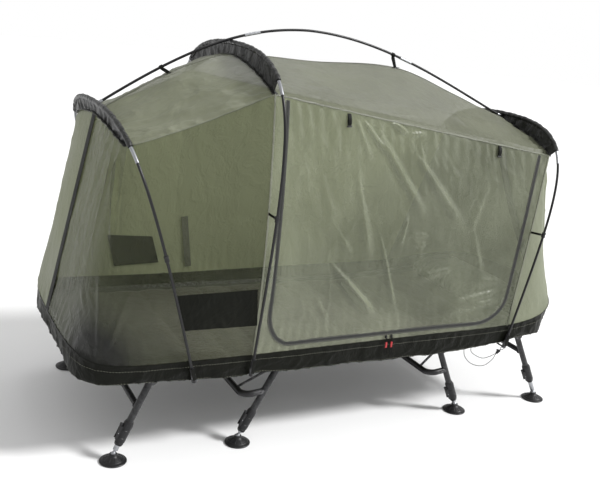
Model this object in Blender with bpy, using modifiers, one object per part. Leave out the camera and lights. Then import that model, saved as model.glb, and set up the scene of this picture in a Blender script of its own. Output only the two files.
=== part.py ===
"""Fishing bivvy on a folding bedchair: a tent on three hoops that stands on an eight-legged bed.

All sizes are metres. Distances along the bed, called stations, are measured from the foot end of the
fabric; the model's own origin lies below the middle of the object, on the ground.
"""
import math

import bmesh
import bpy
from mathutils import Matrix, Vector

# Overall
LENGTH = 2.19               # fabric at the foot end to fabric at the head end
GAP = 0.0003                # clearance between parts that touch
SIDES = {"near": -1.0, "far": 1.0}

# Bed frame
TUBE_R = 0.0125             # 25 mm steel tube
RAIL_Z = 0.335              # height of the side rails
RAIL_Y = 0.445              # half the distance between the side rails
FRAME_FOOT_X = 0.045        # station of the foot end tube
FRAME_HEAD_X = 2.050        # station of the head end tube, before the head section is raised
CORNER_R = 0.120            # bend of the frame at its four corners
FOOT_HINGE_X = 0.745        # station of the joint between foot and middle section
HEAD_HINGE_X = 1.545        # station of the joint between middle and head section
RECLINE = math.radians(4.0)  # how far the head section is raised
SECTION_GAP = 0.004         # space between two sections' tube ends
PLATE_T = 0.003             # thickness of a section hinge plate
PLATE_LENGTH = 0.090
PLATE_HEIGHT = 0.020
RIVET_R = 0.005
RIVET_H = 0.002
RIVET_SHARES = (-0.33, 0.0, 0.33)   # places of the rivets along a plate

# Legs: pivot station, foot station, how far the inner leg is drawn out below the collar
LEG_Y = 0.410               # half the distance between the legs of a pair
PIVOT_DROP = 0.033          # pivots lie this far below the rail's centre
LEGS = (
    {"pivot": 0.285, "foot": 0.163, "drawn": 0.036, "bar": "straight", "bar_at": 0.110, "fold": 1.0},
    {"pivot": 0.775, "foot": 0.633, "drawn": 0.020, "bar": "offset", "bar_at": 0.112, "fold": 1.0},
    {"pivot": 1.515, "foot": 1.645, "drawn": 0.026, "bar": "offset", "bar_at": 0.115, "fold": -1.0},
    {"pivot": 1.925, "foot": 2.090, "drawn": 0.070, "bar": "straight", "bar_at": 0.100, "fold": -1.0},
)
BAR_OFFSET = 0.085          # the stabiliser bars of the middle legs stand off this far to the foot end
BAR_DROP = 0.010
BAR_BEND_R = 0.040
BRACE_R = 0.005
BRACE_Y = 0.340             # half the distance between a leg frame's braces, where they meet the bar
BRACE_TOP_Y = 0.383
BRACE_TOP = 0.021           # a brace ends this far down the leg from its pivot
BRACE_IN = 0.006            # and reaches this far inside the leg's middle
STRAIGHT_BAR_R = 0.01125    # the end pairs' bars are a little thinner than their legs
PIN_R = 0.004
PIN_HEAD_R = 0.008
PIN_HEAD_T = 0.003
LUG_R = 0.017
LUG_T = 0.006
LUG_GAP = 0.002             # washer space between leg and lug
LUG_TOP = 0.008             # the lug meets the rail this far below its centre
LUG_WEB = 0.0204            # width of the web between a lug and its rail
LUG_WEB_OUT = 0.00825       # the web stops this far inside the rail's centre
COLLAR_R = 0.0175
COLLAR_LENGTH = 0.095
COLLAR_TAPER = 0.012        # length of the collar's narrower lower end
COLLAR_END_R = 0.0147
TUBE_INTO_COLLAR = 0.004    # the outer tube ends this far above the collar's lower end
INNER_R = 0.0095
INNER_LENGTH = 0.215        # whole inner leg from the ball's centre up
BORE_CLEARANCE = 0.0005
LEVER_WIDTH = 0.010
LEVER_LENGTH = 0.044
LEVER_T = 0.005
CHEEK_T = 0.003
CHEEK_REACH = 0.012
LEVER_GAP = 0.0005
LEVER_AT = 0.45             # share of the collar's length below the lever's pin
LEVER_LOW = 0.30            # share of the lever's length from its pin up to its middle
LEVER_TIP = (0.010, 0.010)  # thickness and length of the thumb end
LEVER_TIP_AT = 0.74
LEVER_TIP_OUT = 0.002
LEVER_PIN_R = 0.0012
LEVER_HOLE_R = 0.0016
CHEEK_SHARE = 0.55          # share of the collar's length that the cheeks take
CHEEK_AT = 0.47

# Mud feet
FOOT_R = 0.048
FOOT_EDGE = 0.005
BALL_Z = 0.030              # centre of the ball joint above the ground
BALL_R = 0.009
SOCKET_WALL = 0.0045
SOCKET_CLEARANCE = 0.0009
SOCKET_RIM = 0.0015         # the socket's rim stands this far above the ball's centre
FOOT_DOME = ((-0.0040, 0.0135), (-0.0105, 0.021), (-0.0185, 0.036))  # height and radius down the dome
NECK_R = 0.005
NECK_TOP = 0.007            # the neck widens to the leg between these heights above the ball
NECK_WIDENS = 0.003
NECK_FOOT = 0.0075
INNER_BEVEL = 0.001
LEG_SIDES = 8               # flats round an inner leg
FOOT_SIDES = 12             # flats round a mud foot

# Deck, mattress and pillow
DECK_SAG = 0.0165           # how far the deck hangs below the rails' centre
DECK_T = 0.0012
DECK_ROLL = 0.030           # width over which the deck rises to the rails
DECK_SHARES = (-1.0, -0.98, -0.955, -0.9, 0.9, 0.955, 0.98, 1.0)   # rows of the deck across the bed
DECK_STEPS = 5
MATTRESS_MARGIN = 0.047     # from the rail's centre to the mattress edge
MATTRESS_T = 0.038
MATTRESS_EDGE = 0.014
MATTRESS_CROWN = 0.060      # width over which the mattress rises from its edge
CHANNEL = 0.135             # width of one quilted channel
CHANNEL_DIP = 0.011
CHANNEL_STEPS = 4
MATTRESS_LIP = 0.012        # first row inside the mattress's edge
MATTRESS_SHARES = (-1.0, -0.95, -0.85, 0.0, 0.85, 0.95, 1.0)
PILLOW_SIZE = (0.22, 0.62, 0.125)
PILLOW_X = 1.925
PILLOW_GAP = 0.0006
PILLOW_TILT = math.radians(-14.0)
PILLOW_FULL = (1.0, 0.72, 0.42)     # how full the pillow is in its middle, at an edge and at a corner
PILLOW_EARS = 0.06          # how far its corners stand out

# Hoops: station and lean (station per height), handle lengths of the half curve, top height
POLE_R = 0.005
HOOP_Y = 0.485              # half the distance between a hoop's ends
HOOP_Z = 0.319              # height of the hoops' ends
HOOPS = (
    {"x": 0.413, "lean": -0.308, "rise": 0.769, "flare": 0.124, "handle": 0.504, "top": 1.207, "fin": 0.425},
    {"x": 0.630, "lean": 0.018, "rise": 0.904, "flare": 0.118, "handle": 0.649, "top": 1.449, "fin": 0.445},
    {"x": 1.796, "lean": 0.226, "rise": 0.784, "flare": 0.013, "handle": 0.492, "top": 1.244, "fin": 0.392},
)
HOOP_STEPS = 8              # straight pieces in half a hoop outside its fin
CUP_R = 0.009
CUP_DEPTH = 0.022
CUP_FLOOR = 0.011
CUP_ARM_R = 0.0035
CUP_ARM_Y = 0.4365
CUP_ARM_IN = 0.0074         # the arm leaves the cup this far from the cup's middle
CUP_ARM_BEND = 0.006
CLIP_HEIGHT = {0: 0.775, 1: 0.905, 2: 0.800}
CLIP_R = 0.008
CLIP_LENGTH = 0.014
CLIP_ARM_R = 0.003
CLIP_REACH = 0.0045         # a clip's hook ends this far before the middle of the seam

# Ridge pole, a curve in the middle plane of the tent: end, handle, summit, handle, end
RIDGE = ((0.1500, 1.191), (0.442, 1.389), (0.670, 1.5130), (0.970, 1.519), (1.320, 1.517), (1.661, 1.357),
         (1.9970, 1.2274))
RIDGE_STEPS = 11
HANGERS = ((0.383, 0.413), (1.370, 1.388))   # stations on the pole and on the roof
HANGER_WIDTH = 0.012
HANGER_T = 0.003
HANGER_GAP = 0.0040         # between a hanger's square end and the sloping roof
STRAP_WIDTH = 0.0096

# Fabric. Columns of the half wall from the foot centre round the near side to the head centre:
# top of the tub, roof seam, and how far the wall bulges between them
FABRIC_T = 0.0020
WALL = (
    ((0.000, 0.000, 0.425), (0.150, 0.000, 1.165), 0.000),
    ((0.006, 0.200, 0.420), (0.152, 0.200, 1.147), 0.000),
    ((0.030, 0.370, 0.408), (0.160, 0.330, 1.121), 0.000),
    ((0.080, 0.448, 0.396), (0.170, 0.376, 1.109), 0.002),
    ((0.180, 0.478, 0.388), (0.200, 0.388, 1.118), 0.010),
    ((0.400, 0.479, 0.385), (0.400, 0.406, 1.193), 0.020),
    ((0.632, 0.478, 0.385), (0.648, 0.430, 1.305), 0.030),
    ((0.930, 0.4772, 0.390), (0.980, 0.410, 1.255), 0.012),
    ((1.400, 0.4760, 0.398), (1.500, 0.384, 1.180), 0.006),
    ((1.800, 0.475, 0.405), (1.972, 0.364, 1.113), 0.004),
    ((1.975, 0.462, 0.428), (1.978, 0.352, 1.119), -0.012),
    ((2.090, 0.400, 0.458), (1.984, 0.325, 1.131), -0.035),
    ((2.160, 0.270, 0.488), (1.992, 0.215, 1.169), -0.052),
    ((2.190, 0.000, 0.500), (2.000, 0.000, 1.212), -0.055),
)
HOOP_COLUMN = {"foot": 3, "door": 6, "head": 9}
RIDGE_LINE = ((0.150, 1.165), (0.270, 1.240), (0.390, 1.308), (0.490, 1.355), (0.648, 1.404),
              (1.000, 1.403), (1.388, 1.405), (1.700, 1.315), (2.000, 1.212))
ROOF_ROUND = {"hoop": 1.75, "middle": 1.15}  # how round the roof's section is
TUB_OUT = 0.030             # how far the tub stands outside the rail's centre
TUB_BOTTOM_OUT = 0.022
TUB_DROP = 0.0026           # from the walls' lower edge to the tub's upper edge
TUB_BOTTOM = 0.0185         # how far the hem hangs below the rail's centre
LIP_IN = 0.002              # how far the hem reaches inside the rail's centre
PANEL_GAP = 0.0006          # between two panels of fabric
TOP_TRIM = 0.0038           # share of a wall's height left free below the roof's edge
SEAM_TRIM = 0.0018          # two panels that meet at an angle are cut back by this at their seam
FIN_WEB = 0.0020
FIN_GAP = 0.0021            # between a fin's lower edge and the roof
FIN_STEPS = 5               # straight pieces in half a fin and in half the roof's width
SLEEVE_WALL = 0.0020
SLEEVE_CLEARANCE = 0.0008
SLEEVE_OPEN = 62.0          # degrees below level where the sleeve runs into the fin
SLEEVE_SIDES = 8
BORE_FOOT = (260.0, 280.0)  # degrees round the pole of the bore's two lowest corners
ROOF_SHARES = [k / FIN_STEPS for k in range(-FIN_STEPS, FIN_STEPS + 1)]

# Door
DOOR_LEFT = 0.050           # share of the wall between the hoops where the zip runs down
DOOR_RIGHT = 0.962
DOOR_BOTTOM = 0.035         # above the tub
DOOR_TOP = 0.990            # the door is sewn to the wall along here
DOOR_CORNER_R = 0.130
DOOR_GAP = 0.0010
DOOR_SIDE_MARKS = (0.8, 0.6, 0.4)   # places up the door's straight sides
SLIDER = (0.008, 0.006, 0.012)
PULL = (0.006, 0.0025, 0.024)
SLIDER_X = (1.192, 1.216)

# Drawcord of the hem
CORD_R = 0.00125
CORD_STEPS = 44
CORD_APART = 0.0036         # between the two strands in the lock
CORD_TIP = 0.022            # the loop's end reaches this far past the lock
CORD_TIP_WIDE = 0.0081      # half the width of the loop beyond the lock
CORD_LEAD = 0.006           # the strands run straight this far out of the lock
LOCK_R = 0.006
LOCK_LENGTH = 0.018
LOCK_SLOT = (0.0075, 0.0036)
BUTTON_R = 0.004
BUTTON_H = 0.006
LOCK_AT = (1.782, -0.470, 0.285)
LOCK_TURN = math.radians(35.0)
CORD_ROUTE = (
    (1.600, -0.462, 0.3200), (1.606, -0.470, 0.280), (1.640, -0.480, 0.248), (1.700, -0.484, 0.236),
    (1.750, -0.478, 0.256),
)
CORD_RETURN = (
    (1.745, -0.464, 0.264), (1.712, -0.460, 0.258), (1.672, -0.458, 0.274),
    (1.644, -0.459, 0.296), (1.640, -0.462, 0.3228),
)


# Placing

def at(x, y, z):
    """Point of the model from a station along the bed, a side distance and a height."""
    return Vector((x - LENGTH / 2, y, z))


def bend(x, y, z):
    """Station, side distance and height of a point of the bed once its head section is raised."""
    if x <= HEAD_HINGE_X:
        return x, y, z
    dx = x - HEAD_HINGE_X
    dz = z - RAIL_Z
    return (HEAD_HINGE_X + dx * math.cos(RECLINE) - dz * math.sin(RECLINE), y,
            RAIL_Z + dx * math.sin(RECLINE) + dz * math.cos(RECLINE))


def on_bed(x, y, z):
    """Point of the model from a place on the flat bed."""
    return at(*bend(x, y, z))


def lerp(a, b, t):
    """Value or vector between a and b."""
    return a + (b - a) * t


def smooth(t):
    """Ease from 0 to 1 with level ends."""
    t = min(max(t, 0.0), 1.0)
    return t * t * (3.0 - 2.0 * t)


def spline(points, t):
    """Point at t of a smooth curve through the points, where t counts the points."""
    i = min(max(int(math.floor(t)), 0), len(points) - 2)
    f = t - i
    p1 = Vector(points[i])
    p2 = Vector(points[i + 1])
    p0 = Vector(points[i - 1]) if i > 0 else p1 * 2 - p2
    p3 = Vector(points[i + 2]) if i + 2 < len(points) else p2 * 2 - p1
    d1 = (p2 - p0).length + 1e-9
    d2 = (p3 - p1).length + 1e-9
    span = (p2 - p1).length
    m1 = (p2 - p0) / d1 * span
    m2 = (p3 - p1) / d2 * span
    f2 = f * f
    f3 = f2 * f
    return (p1 * (2 * f3 - 3 * f2 + 1) + m1 * (f3 - 2 * f2 + f)
            + p2 * (3 * f2 - 2 * f3) + m2 * (f3 - f2))


def bezier(p0, p1, p2, p3, t):
    """Point at t of a cubic curve."""
    u = 1.0 - t
    return tuple(a * u ** 3 + 3 * b * u * u * t + 3 * c * u * t * t + d * t ** 3
                 for a, b, c, d in zip(p0, p1, p2, p3))


# Scene helpers

def clear_scene():
    """Remove every object of the file the script runs in."""
    for obj in list(bpy.data.objects):
        bpy.data.objects.remove(obj, do_unlink=True)


def make_collection(name):
    """New collection under the scene."""
    group = bpy.data.collections.new(name)
    bpy.context.scene.collection.children.link(group)
    return group


def make_material(name, color, roughness, metallic=0.0):
    """Principled material of one plain finish."""
    mat = bpy.data.materials.new(name)
    mat.use_nodes = True
    shader = mat.node_tree.nodes["Principled BSDF"]
    shader.inputs["Base Color"].default_value = (*color, 1.0)
    shader.inputs["Roughness"].default_value = roughness
    shader.inputs["Metallic"].default_value = metallic
    return mat


def link(name, data, mat=None):
    """New object of the bivvy."""
    obj = bpy.data.objects.new(name, data)
    PARTS.objects.link(obj)
    if mat is not None:
        data.materials.append(mat)
    return obj


def from_bmesh(name, bm, mat=None):
    """New object from a bmesh with its faces turned outwards."""
    bmesh.ops.recalc_face_normals(bm, faces=bm.faces)
    mesh = bpy.data.meshes.new(name)
    bm.to_mesh(mesh)
    bm.free()
    return link(name, mesh, mat)


def shade(obj, angle=35.0):
    """Shade an object's mesh smooth except at its sharp edges."""
    obj.data.shade_smooth()
    obj.data.set_sharp_from_angle(angle=math.radians(angle))


def settle(obj):
    """Turn an object into the plain mesh it evaluates to."""
    bpy.context.view_layer.update()
    deps = bpy.context.evaluated_depsgraph_get()
    mesh = bpy.data.meshes.new_from_object(obj.evaluated_get(deps))
    bm = bmesh.new()
    bm.from_mesh(mesh)
    bmesh.ops.remove_doubles(bm, verts=bm.verts, dist=1e-6)
    bm.to_mesh(mesh)
    bm.free()
    made = link(obj.name + "_mesh", mesh)
    made.matrix_world = obj.matrix_world.copy()
    name = obj.name
    bpy.data.objects.remove(obj, do_unlink=True)
    made.name = name
    mesh.name = name
    return made


def cut_or_join(obj, tools, operation, solver="EXACT"):
    """Boolean an object with each tool in turn and keep the plain mesh."""
    for tool in tools:
        mod = obj.modifiers.new(tool.name, "BOOLEAN")
        mod.object = tool
        mod.operation = operation
        mod.solver = solver
    made = settle(obj)
    for tool in tools:
        bpy.data.objects.remove(tool, do_unlink=True)
    return made


def move_origin(obj, origin):
    """Put an object's origin on its joint without moving its mesh."""
    here = obj.matrix_world.copy()
    obj.data.transform(Matrix.Translation(-origin) @ here)
    obj.matrix_world = Matrix.Translation(origin)


def tube(name, points, radius, mat=None, resolution=2):
    """Bent tube or wire through the points, with closed ends."""
    curve = bpy.data.curves.new(name, "CURVE")
    curve.dimensions = "3D"
    curve.bevel_depth = radius
    curve.bevel_resolution = resolution
    curve.use_fill_caps = True
    line = curve.splines.new("POLY")
    line.points.add(len(points) - 1)
    for slot, point in zip(line.points, points):
        slot.co = (*point, 1.0)
    return link(name, curve, mat)


def fillet(points, radius, steps=4):
    """Route whose inner corners are rounded by arcs."""
    route = [Vector(points[0])]
    for before, corner, after in zip(points, points[1:], points[2:]):
        corner = Vector(corner)
        a = (Vector(before) - corner).normalized()
        b = (Vector(after) - corner).normalized()
        half = a.angle(b) / 2
        reach = radius / math.tan(half)
        centre = corner + (a + b).normalized() * (radius / math.sin(half))
        start = corner + a * reach - centre
        end = corner + b * reach - centre
        for k in range(steps + 1):
            route.append(centre + start.normalized().slerp(end.normalized(), k / steps) * radius)
    route.append(Vector(points[-1]))
    return route


def rod(name, start, end, radius, mat=None, segments=10, end_radius=None):
    """Straight round bar or cone between two points."""
    axis = end - start
    bm = bmesh.new()
    bmesh.ops.create_cone(bm, cap_ends=True, segments=segments, radius1=radius,
                          radius2=radius if end_radius is None else end_radius, depth=axis.length)
    turn = axis.to_track_quat("Z", "Y").to_matrix().to_4x4()
    bmesh.ops.transform(bm, matrix=Matrix.Translation((start + end) / 2) @ turn, verts=bm.verts)
    return from_bmesh(name, bm, mat)


def block(name, centre, size, mat=None, turn=None, round_edges=0.0):
    """Box with its size along the turned axes."""
    bm = bmesh.new()
    bmesh.ops.create_cube(bm, size=1.0)
    bmesh.ops.scale(bm, vec=size, verts=bm.verts)
    if round_edges:
        bmesh.ops.bevel(bm, geom=bm.edges[:], offset=round_edges, segments=1, affect="EDGES", profile=0.5)
    place = Matrix.Translation(centre)
    if turn is not None:
        place = place @ turn.to_4x4()
    bmesh.ops.transform(bm, matrix=place, verts=bm.verts)
    return from_bmesh(name, bm, mat)


def turned(name, profile, mat, steps):
    """Turned piece from a profile of radius and height, top to bottom, about its own Z axis."""
    mesh = bpy.data.meshes.new(name)
    mesh.from_pydata([(r, 0.0, z) for r, z in profile], [(i, i + 1) for i in range(len(profile) - 1)], [])
    obj = link(name, mesh, mat)
    screw = obj.modifiers.new("turn", "SCREW")
    screw.steps = steps
    screw.render_steps = steps
    screw.use_merge_vertices = True
    screw.merge_threshold = 0.00001
    screw.use_smooth_shade = True
    return obj


def sheet(name, rows, mat, closed=False, thickness=FABRIC_T):
    """Fabric panel: a grid of points given thickness towards the inside of the tent."""
    bm = bmesh.new()
    grid = [[bm.verts.new(p) for p in row] for row in rows]
    count = len(grid)
    for i in range(count if closed else count - 1):
        a = grid[i]
        b = grid[(i + 1) % count]
        for j in range(len(a) - 1):
            bm.faces.new((a[j], a[j + 1], b[j + 1], b[j]))
    bmesh.ops.remove_doubles(bm, verts=bm.verts, dist=1e-6)
    mesh = bpy.data.meshes.new(name)
    bm.to_mesh(mesh)
    bm.free()
    obj = link(name, mesh, mat)
    solid = obj.modifiers.new("cloth", "SOLIDIFY")
    solid.thickness = thickness
    solid.offset = -1.0
    solid.use_even_offset = False
    shade(obj, 60.0)
    return obj


# Bed frame

def frame_point(x, y, out):
    """Place on the frame's outline nearest to x, y, moved outwards by out."""
    core_x = min(max(x, FRAME_FOOT_X + CORNER_R), FRAME_HEAD_X - CORNER_R)
    core_y = min(max(y, -(RAIL_Y - CORNER_R)), RAIL_Y - CORNER_R)
    away = Vector((x - core_x, y - core_y))
    if away.length < 1e-6:
        away = Vector((0.0, math.copysign(1.0, y)))
    away.normalize()
    return core_x + away.x * (CORNER_R + out), core_y + away.y * (CORNER_R + out)


def frame_inset(x, y):
    """Distance of a place on the bed from the frame's outline, inwards."""
    core_x = min(max(x, FRAME_FOOT_X + CORNER_R), FRAME_HEAD_X - CORNER_R)
    core_y = min(max(y, -(RAIL_Y - CORNER_R)), RAIL_Y - CORNER_R)
    away = Vector((x - core_x, y - core_y)).length
    if away > 1e-9:
        return CORNER_R - away
    return min(x - FRAME_FOOT_X, FRAME_HEAD_X - x, RAIL_Y - abs(y))


def end_tube(name, joint_x, end_x, mat):
    """U-shaped tube of the foot or head section."""
    corners = [(joint_x, -RAIL_Y), (end_x, -RAIL_Y), (end_x, RAIL_Y), (joint_x, RAIL_Y)]
    points = fillet([Vector((x, y, RAIL_Z)) for x, y in corners], CORNER_R, 6)
    return tube(name, [on_bed(*p) for p in points], TUBE_R, mat)


def hoop_base(hoop):
    """Direction of a hoop's pole at its near end and that end's place."""
    along = Vector((hoop["lean"] * hoop["rise"], -hoop["flare"], hoop["rise"])).normalized()
    return along, at(hoop["x"], -HOOP_Y, HOOP_Z)


def mirrored(v, side):
    """Vector of the near side carried to the given side."""
    return Vector((v.x, -v.y if side > 0 else v.y, v.z))


def cup_pieces(hoop, side):
    """Cup that a hoop's end stands in, and the arm that carries it from the rail."""
    along, foot = hoop_base(hoop)
    along = mirrored(along, side)
    foot = mirrored(foot, side)
    low = foot - along * (CUP_FLOOR + GAP)
    cup = rod("cup", low, foot + along * CUP_DEPTH, CUP_R)
    bore = rod("bore", foot - along * GAP, foot + along * (CUP_DEPTH + CUP_R), POLE_R + 2 * BORE_CLEARANCE)
    cup = cut_or_join(cup, [bore], "DIFFERENCE")
    rail = on_bed(hoop["x"], side * CUP_ARM_Y, RAIL_Z)
    start = low + along * CUP_ARM_R + Vector((0.0, -side * CUP_ARM_IN, 0.0))
    turn_point = Vector((rail.x, rail.y, start.z))
    arm = tube("arm", fillet([start, turn_point, rail], CUP_ARM_BEND, 2), CUP_ARM_R, resolution=1)
    return [cup, settle(arm)]


def lug_pieces(leg, side):
    """Plate under a rail with the pin that a leg turns on."""
    pivot = pivot_point(leg, side)
    inner = LEG_Y + TUBE_R + LUG_GAP
    start = Vector((pivot.x, side * inner, pivot.z))
    plate = rod("lug", start, start + Vector((0.0, side * LUG_T, 0.0)), LUG_R, segments=12)
    web_in = inner + LUG_T / 3
    web_out = RAIL_Y - LUG_WEB_OUT
    rail = on_bed(leg["pivot"], side * (web_in + web_out) / 2, RAIL_Z - LUG_TOP)
    mid = Vector((pivot.x, rail.y, (rail.z + pivot.z) / 2))
    web = block("web", mid, (LUG_WEB, web_out - web_in, rail.z - pivot.z))
    head = Vector((pivot.x, side * (LEG_Y - TUBE_R - LUG_GAP), pivot.z))
    pin = rod("pin", start + Vector((0.0, side * LUG_T / 2, 0.0)), head, PIN_R, segments=8)
    knob = rod("knob", head + Vector((0.0, side * GAP, 0.0)),
               head - Vector((0.0, side * PIN_HEAD_T, 0.0)), PIN_HEAD_R, segments=8)
    return [plate, web, pin, knob]


def pivot_point(leg, side):
    """Centre of a leg's hinge pin."""
    return on_bed(leg["pivot"], side * LEG_Y, RAIL_Z - PIVOT_DROP)


def build_frame(steel):
    """Three sections of the bed frame with their hoop cups and leg lugs."""
    foot = settle(end_tube("frame_foot", FOOT_HINGE_X - SECTION_GAP / 2, FRAME_FOOT_X, steel))
    head = settle(end_tube("frame_head", HEAD_HINGE_X + SECTION_GAP / 2, FRAME_HEAD_X, steel))
    foot_tools = []
    head_tools = []
    for side in SIDES.values():
        foot_tools += cup_pieces(HOOPS[0], side) + cup_pieces(HOOPS[1], side) + lug_pieces(LEGS[0], side)
        head_tools += cup_pieces(HOOPS[2], side) + lug_pieces(LEGS[3], side)
    shade(cut_or_join(foot, foot_tools, "UNION"))
    shade(cut_or_join(head, head_tools, "UNION"))
    for word, side in SIDES.items():
        ends = [at(x, side * RAIL_Y, RAIL_Z)
                for x in (FOOT_HINGE_X + SECTION_GAP / 2, HEAD_HINGE_X - SECTION_GAP / 2)]
        rail = settle(tube("rail_middle_" + word, ends, TUBE_R, steel))
        shade(cut_or_join(rail, lug_pieces(LEGS[1], side) + lug_pieces(LEGS[2], side), "UNION"))


def build_section_hinges(steel):
    """Riveted plates outside the rails where two sections meet."""
    for where, joint in (("foot", FOOT_HINGE_X), ("head", HEAD_HINGE_X)):
        for word, side in SIDES.items():
            y = side * (RAIL_Y + TUBE_R + GAP + PLATE_T / 2)
            plate = block("section_hinge_%s_%s" % (where, word), on_bed(joint, y, RAIL_Z),
                          (PLATE_LENGTH, PLATE_T, PLATE_HEIGHT), steel)
            heads = []
            for share in RIVET_SHARES:
                start = on_bed(joint + share * PLATE_LENGTH, y, RAIL_Z)
                heads.append(rod("rivet", start, start + Vector((0.0, side * (PLATE_T / 2 + RIVET_H), 0.0)),
                                 RIVET_R, segments=8))
            shade(cut_or_join(plate, heads, "UNION"))


# Legs

def leg_axes(leg, side):
    """Pivot, ball centre, and the direction down the leg."""
    pivot = pivot_point(leg, side)
    ball = at(leg["foot"], side * LEG_Y, BALL_Z)
    return pivot, ball, (ball - pivot).normalized()


def lever_place(leg, side):
    """Hinge point of the lock lever, the direction up the leg and the direction the lever faces."""
    pivot, ball, down = leg_axes(leg, side)
    up = -down
    face = Vector((0.0, 1.0, 0.0)).cross(up).normalized()
    if face.x > 0:
        face = -face
    bottom = ball + up * leg["drawn"]
    hinge = bottom + up * (COLLAR_LENGTH * LEVER_AT) + face * (COLLAR_R + LEVER_T / 2 + LEVER_GAP * 3)
    return hinge, up, face, bottom


def leg_route(leg, side):
    """Place where the cross bar leaves a leg."""
    pivot, ball, down = leg_axes(leg, side)
    return pivot + down * leg["bar_at"]


def build_leg_frame(name, leg, paint):
    """Pair of outer tubes with their cross bar, braces, lock collars and lever cheeks."""
    tools = []
    bores = []
    for side in SIDES.values():
        pivot, ball, down = leg_axes(leg, side)
        hinge, up, face, bottom = lever_place(leg, side)
        end = bottom + up * TUBE_INTO_COLLAR
        tools.append(settle(tube("outer", [pivot - down * TUBE_R * 0.6, end], TUBE_R, resolution=2)))
        top = bottom + up * COLLAR_LENGTH
        tools.append(rod("collar", bottom + up * COLLAR_TAPER, top, COLLAR_R, segments=12))
        tools.append(rod("collar_end", bottom, bottom + up * (COLLAR_TAPER + GAP), COLLAR_END_R, segments=12,
                         end_radius=COLLAR_R - GAP / 3))
        for lateral in (-1.0, 1.0):
            y_shift = Vector((0.0, lateral * (LEVER_WIDTH / 2 + LEVER_GAP + CHEEK_T / 2), 0.0))
            centre = bottom + up * (COLLAR_LENGTH * CHEEK_AT) + face * ((COLLAR_R + CHEEK_REACH) / 2) + y_shift
            turn = Matrix((face, Vector((0, 1, 0)), face.cross(Vector((0, 1, 0))))).transposed()
            tools.append(block("cheek", centre, (CHEEK_REACH + COLLAR_R / 2, CHEEK_T, COLLAR_LENGTH * CHEEK_SHARE),
                               turn=turn))
        pin_half = LEVER_WIDTH / 2 + LEVER_GAP + CHEEK_T * 0.8
        tools.append(rod("lever_pin", hinge - Vector((0, pin_half, 0)), hinge + Vector((0, pin_half, 0)),
                         LEVER_PIN_R, segments=8))
        hole = PIN_R + BORE_CLEARANCE
        bores.append(rod("hinge_bore", pivot - Vector((0, 2 * TUBE_R, 0)), pivot + Vector((0, 2 * TUBE_R, 0)),
                         hole))
        bores.append(rod("slide_bore", ball, ball + up * (INNER_LENGTH + 0.003), INNER_R + BORE_CLEARANCE))
    bars = bar_pieces(leg)
    body = cut_or_join(tools[0], tools[1:] + bars, "UNION", "MANIFOLD")
    body = cut_or_join(body, bores, "DIFFERENCE", "MANIFOLD")
    body.name = name
    body.data.name = name
    body.data.materials.clear()
    body.data.materials.append(paint)
    axis = (pivot_point(leg, -1.0) + pivot_point(leg, 1.0)) / 2
    move_origin(body, axis)
    shade(body)


def bar_pieces(leg):
    """Cross bar of a leg pair, and the braces of a bar that stands off its legs."""
    near = leg_route(leg, -1.0)
    far = leg_route(leg, 1.0)
    if leg["bar"] == "straight":
        return [settle(tube("bar", [near, far], STRAIGHT_BAR_R))]
    shift = Vector((-BAR_OFFSET, 0.0, -BAR_DROP))
    bar = tube("bar", fillet([near, near + shift, far + shift, far], BAR_BEND_R, 4), TUBE_R)
    pieces = [settle(bar)]
    for side in SIDES.values():
        low = (near if side < 0 else far) + shift
        low.y = side * BRACE_Y
        pivot, ball, down = leg_axes(leg, side)
        high = pivot + down * BRACE_TOP
        pieces.append(settle(tube("brace", [low, Vector((high.x, side * BRACE_TOP_Y, high.z)),
                                            Vector((high.x, side * (LEG_Y - BRACE_IN), high.z))], BRACE_R)))
    return pieces


def build_inner_leg(name, leg, side, alloy):
    """Inner leg with its ball, on the leg's slide axis."""
    pivot, ball, down = leg_axes(leg, side)
    profile = [(0.0, INNER_LENGTH), (INNER_R - INNER_BEVEL, INNER_LENGTH), (INNER_R, INNER_LENGTH - INNER_BEVEL),
               (INNER_R, BALL_R + NECK_TOP), (NECK_R, BALL_R + NECK_WIDENS), (NECK_R, NECK_FOOT)]
    for k in range(1, 5):
        angle = math.radians(56.0 - k * 36.0)
        profile.append((BALL_R * math.cos(angle), BALL_R * math.sin(angle)))
    profile.append((0.0, -BALL_R))
    obj = turned(name, profile, alloy, LEG_SIDES)
    obj.matrix_world = Matrix.Translation(ball) @ (-down).to_track_quat("Z", "Y").to_matrix().to_4x4()
    return obj


def build_mud_foot(name, leg, side, plastic):
    """Domed foot with the socket of its ball joint."""
    inner = BALL_R + SOCKET_CLEARANCE
    outer = BALL_R + SOCKET_WALL
    profile = [(0.0, -inner)]
    for k in range(1, 4):
        angle = math.radians(-90.0 + 30.0 * k)
        profile.append((inner * math.cos(angle), inner * math.sin(angle)))
    profile += [(inner, SOCKET_RIM), (outer, SOCKET_RIM), *((r, z) for z, r in FOOT_DOME),
                (FOOT_R, FOOT_EDGE - BALL_Z), (FOOT_R, -BALL_Z), (0.0, -BALL_Z)]
    obj = turned(name, profile, plastic, FOOT_SIDES)
    obj.matrix_world = Matrix.Translation(at(leg["foot"], side * LEG_Y, BALL_Z))
    return obj


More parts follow.
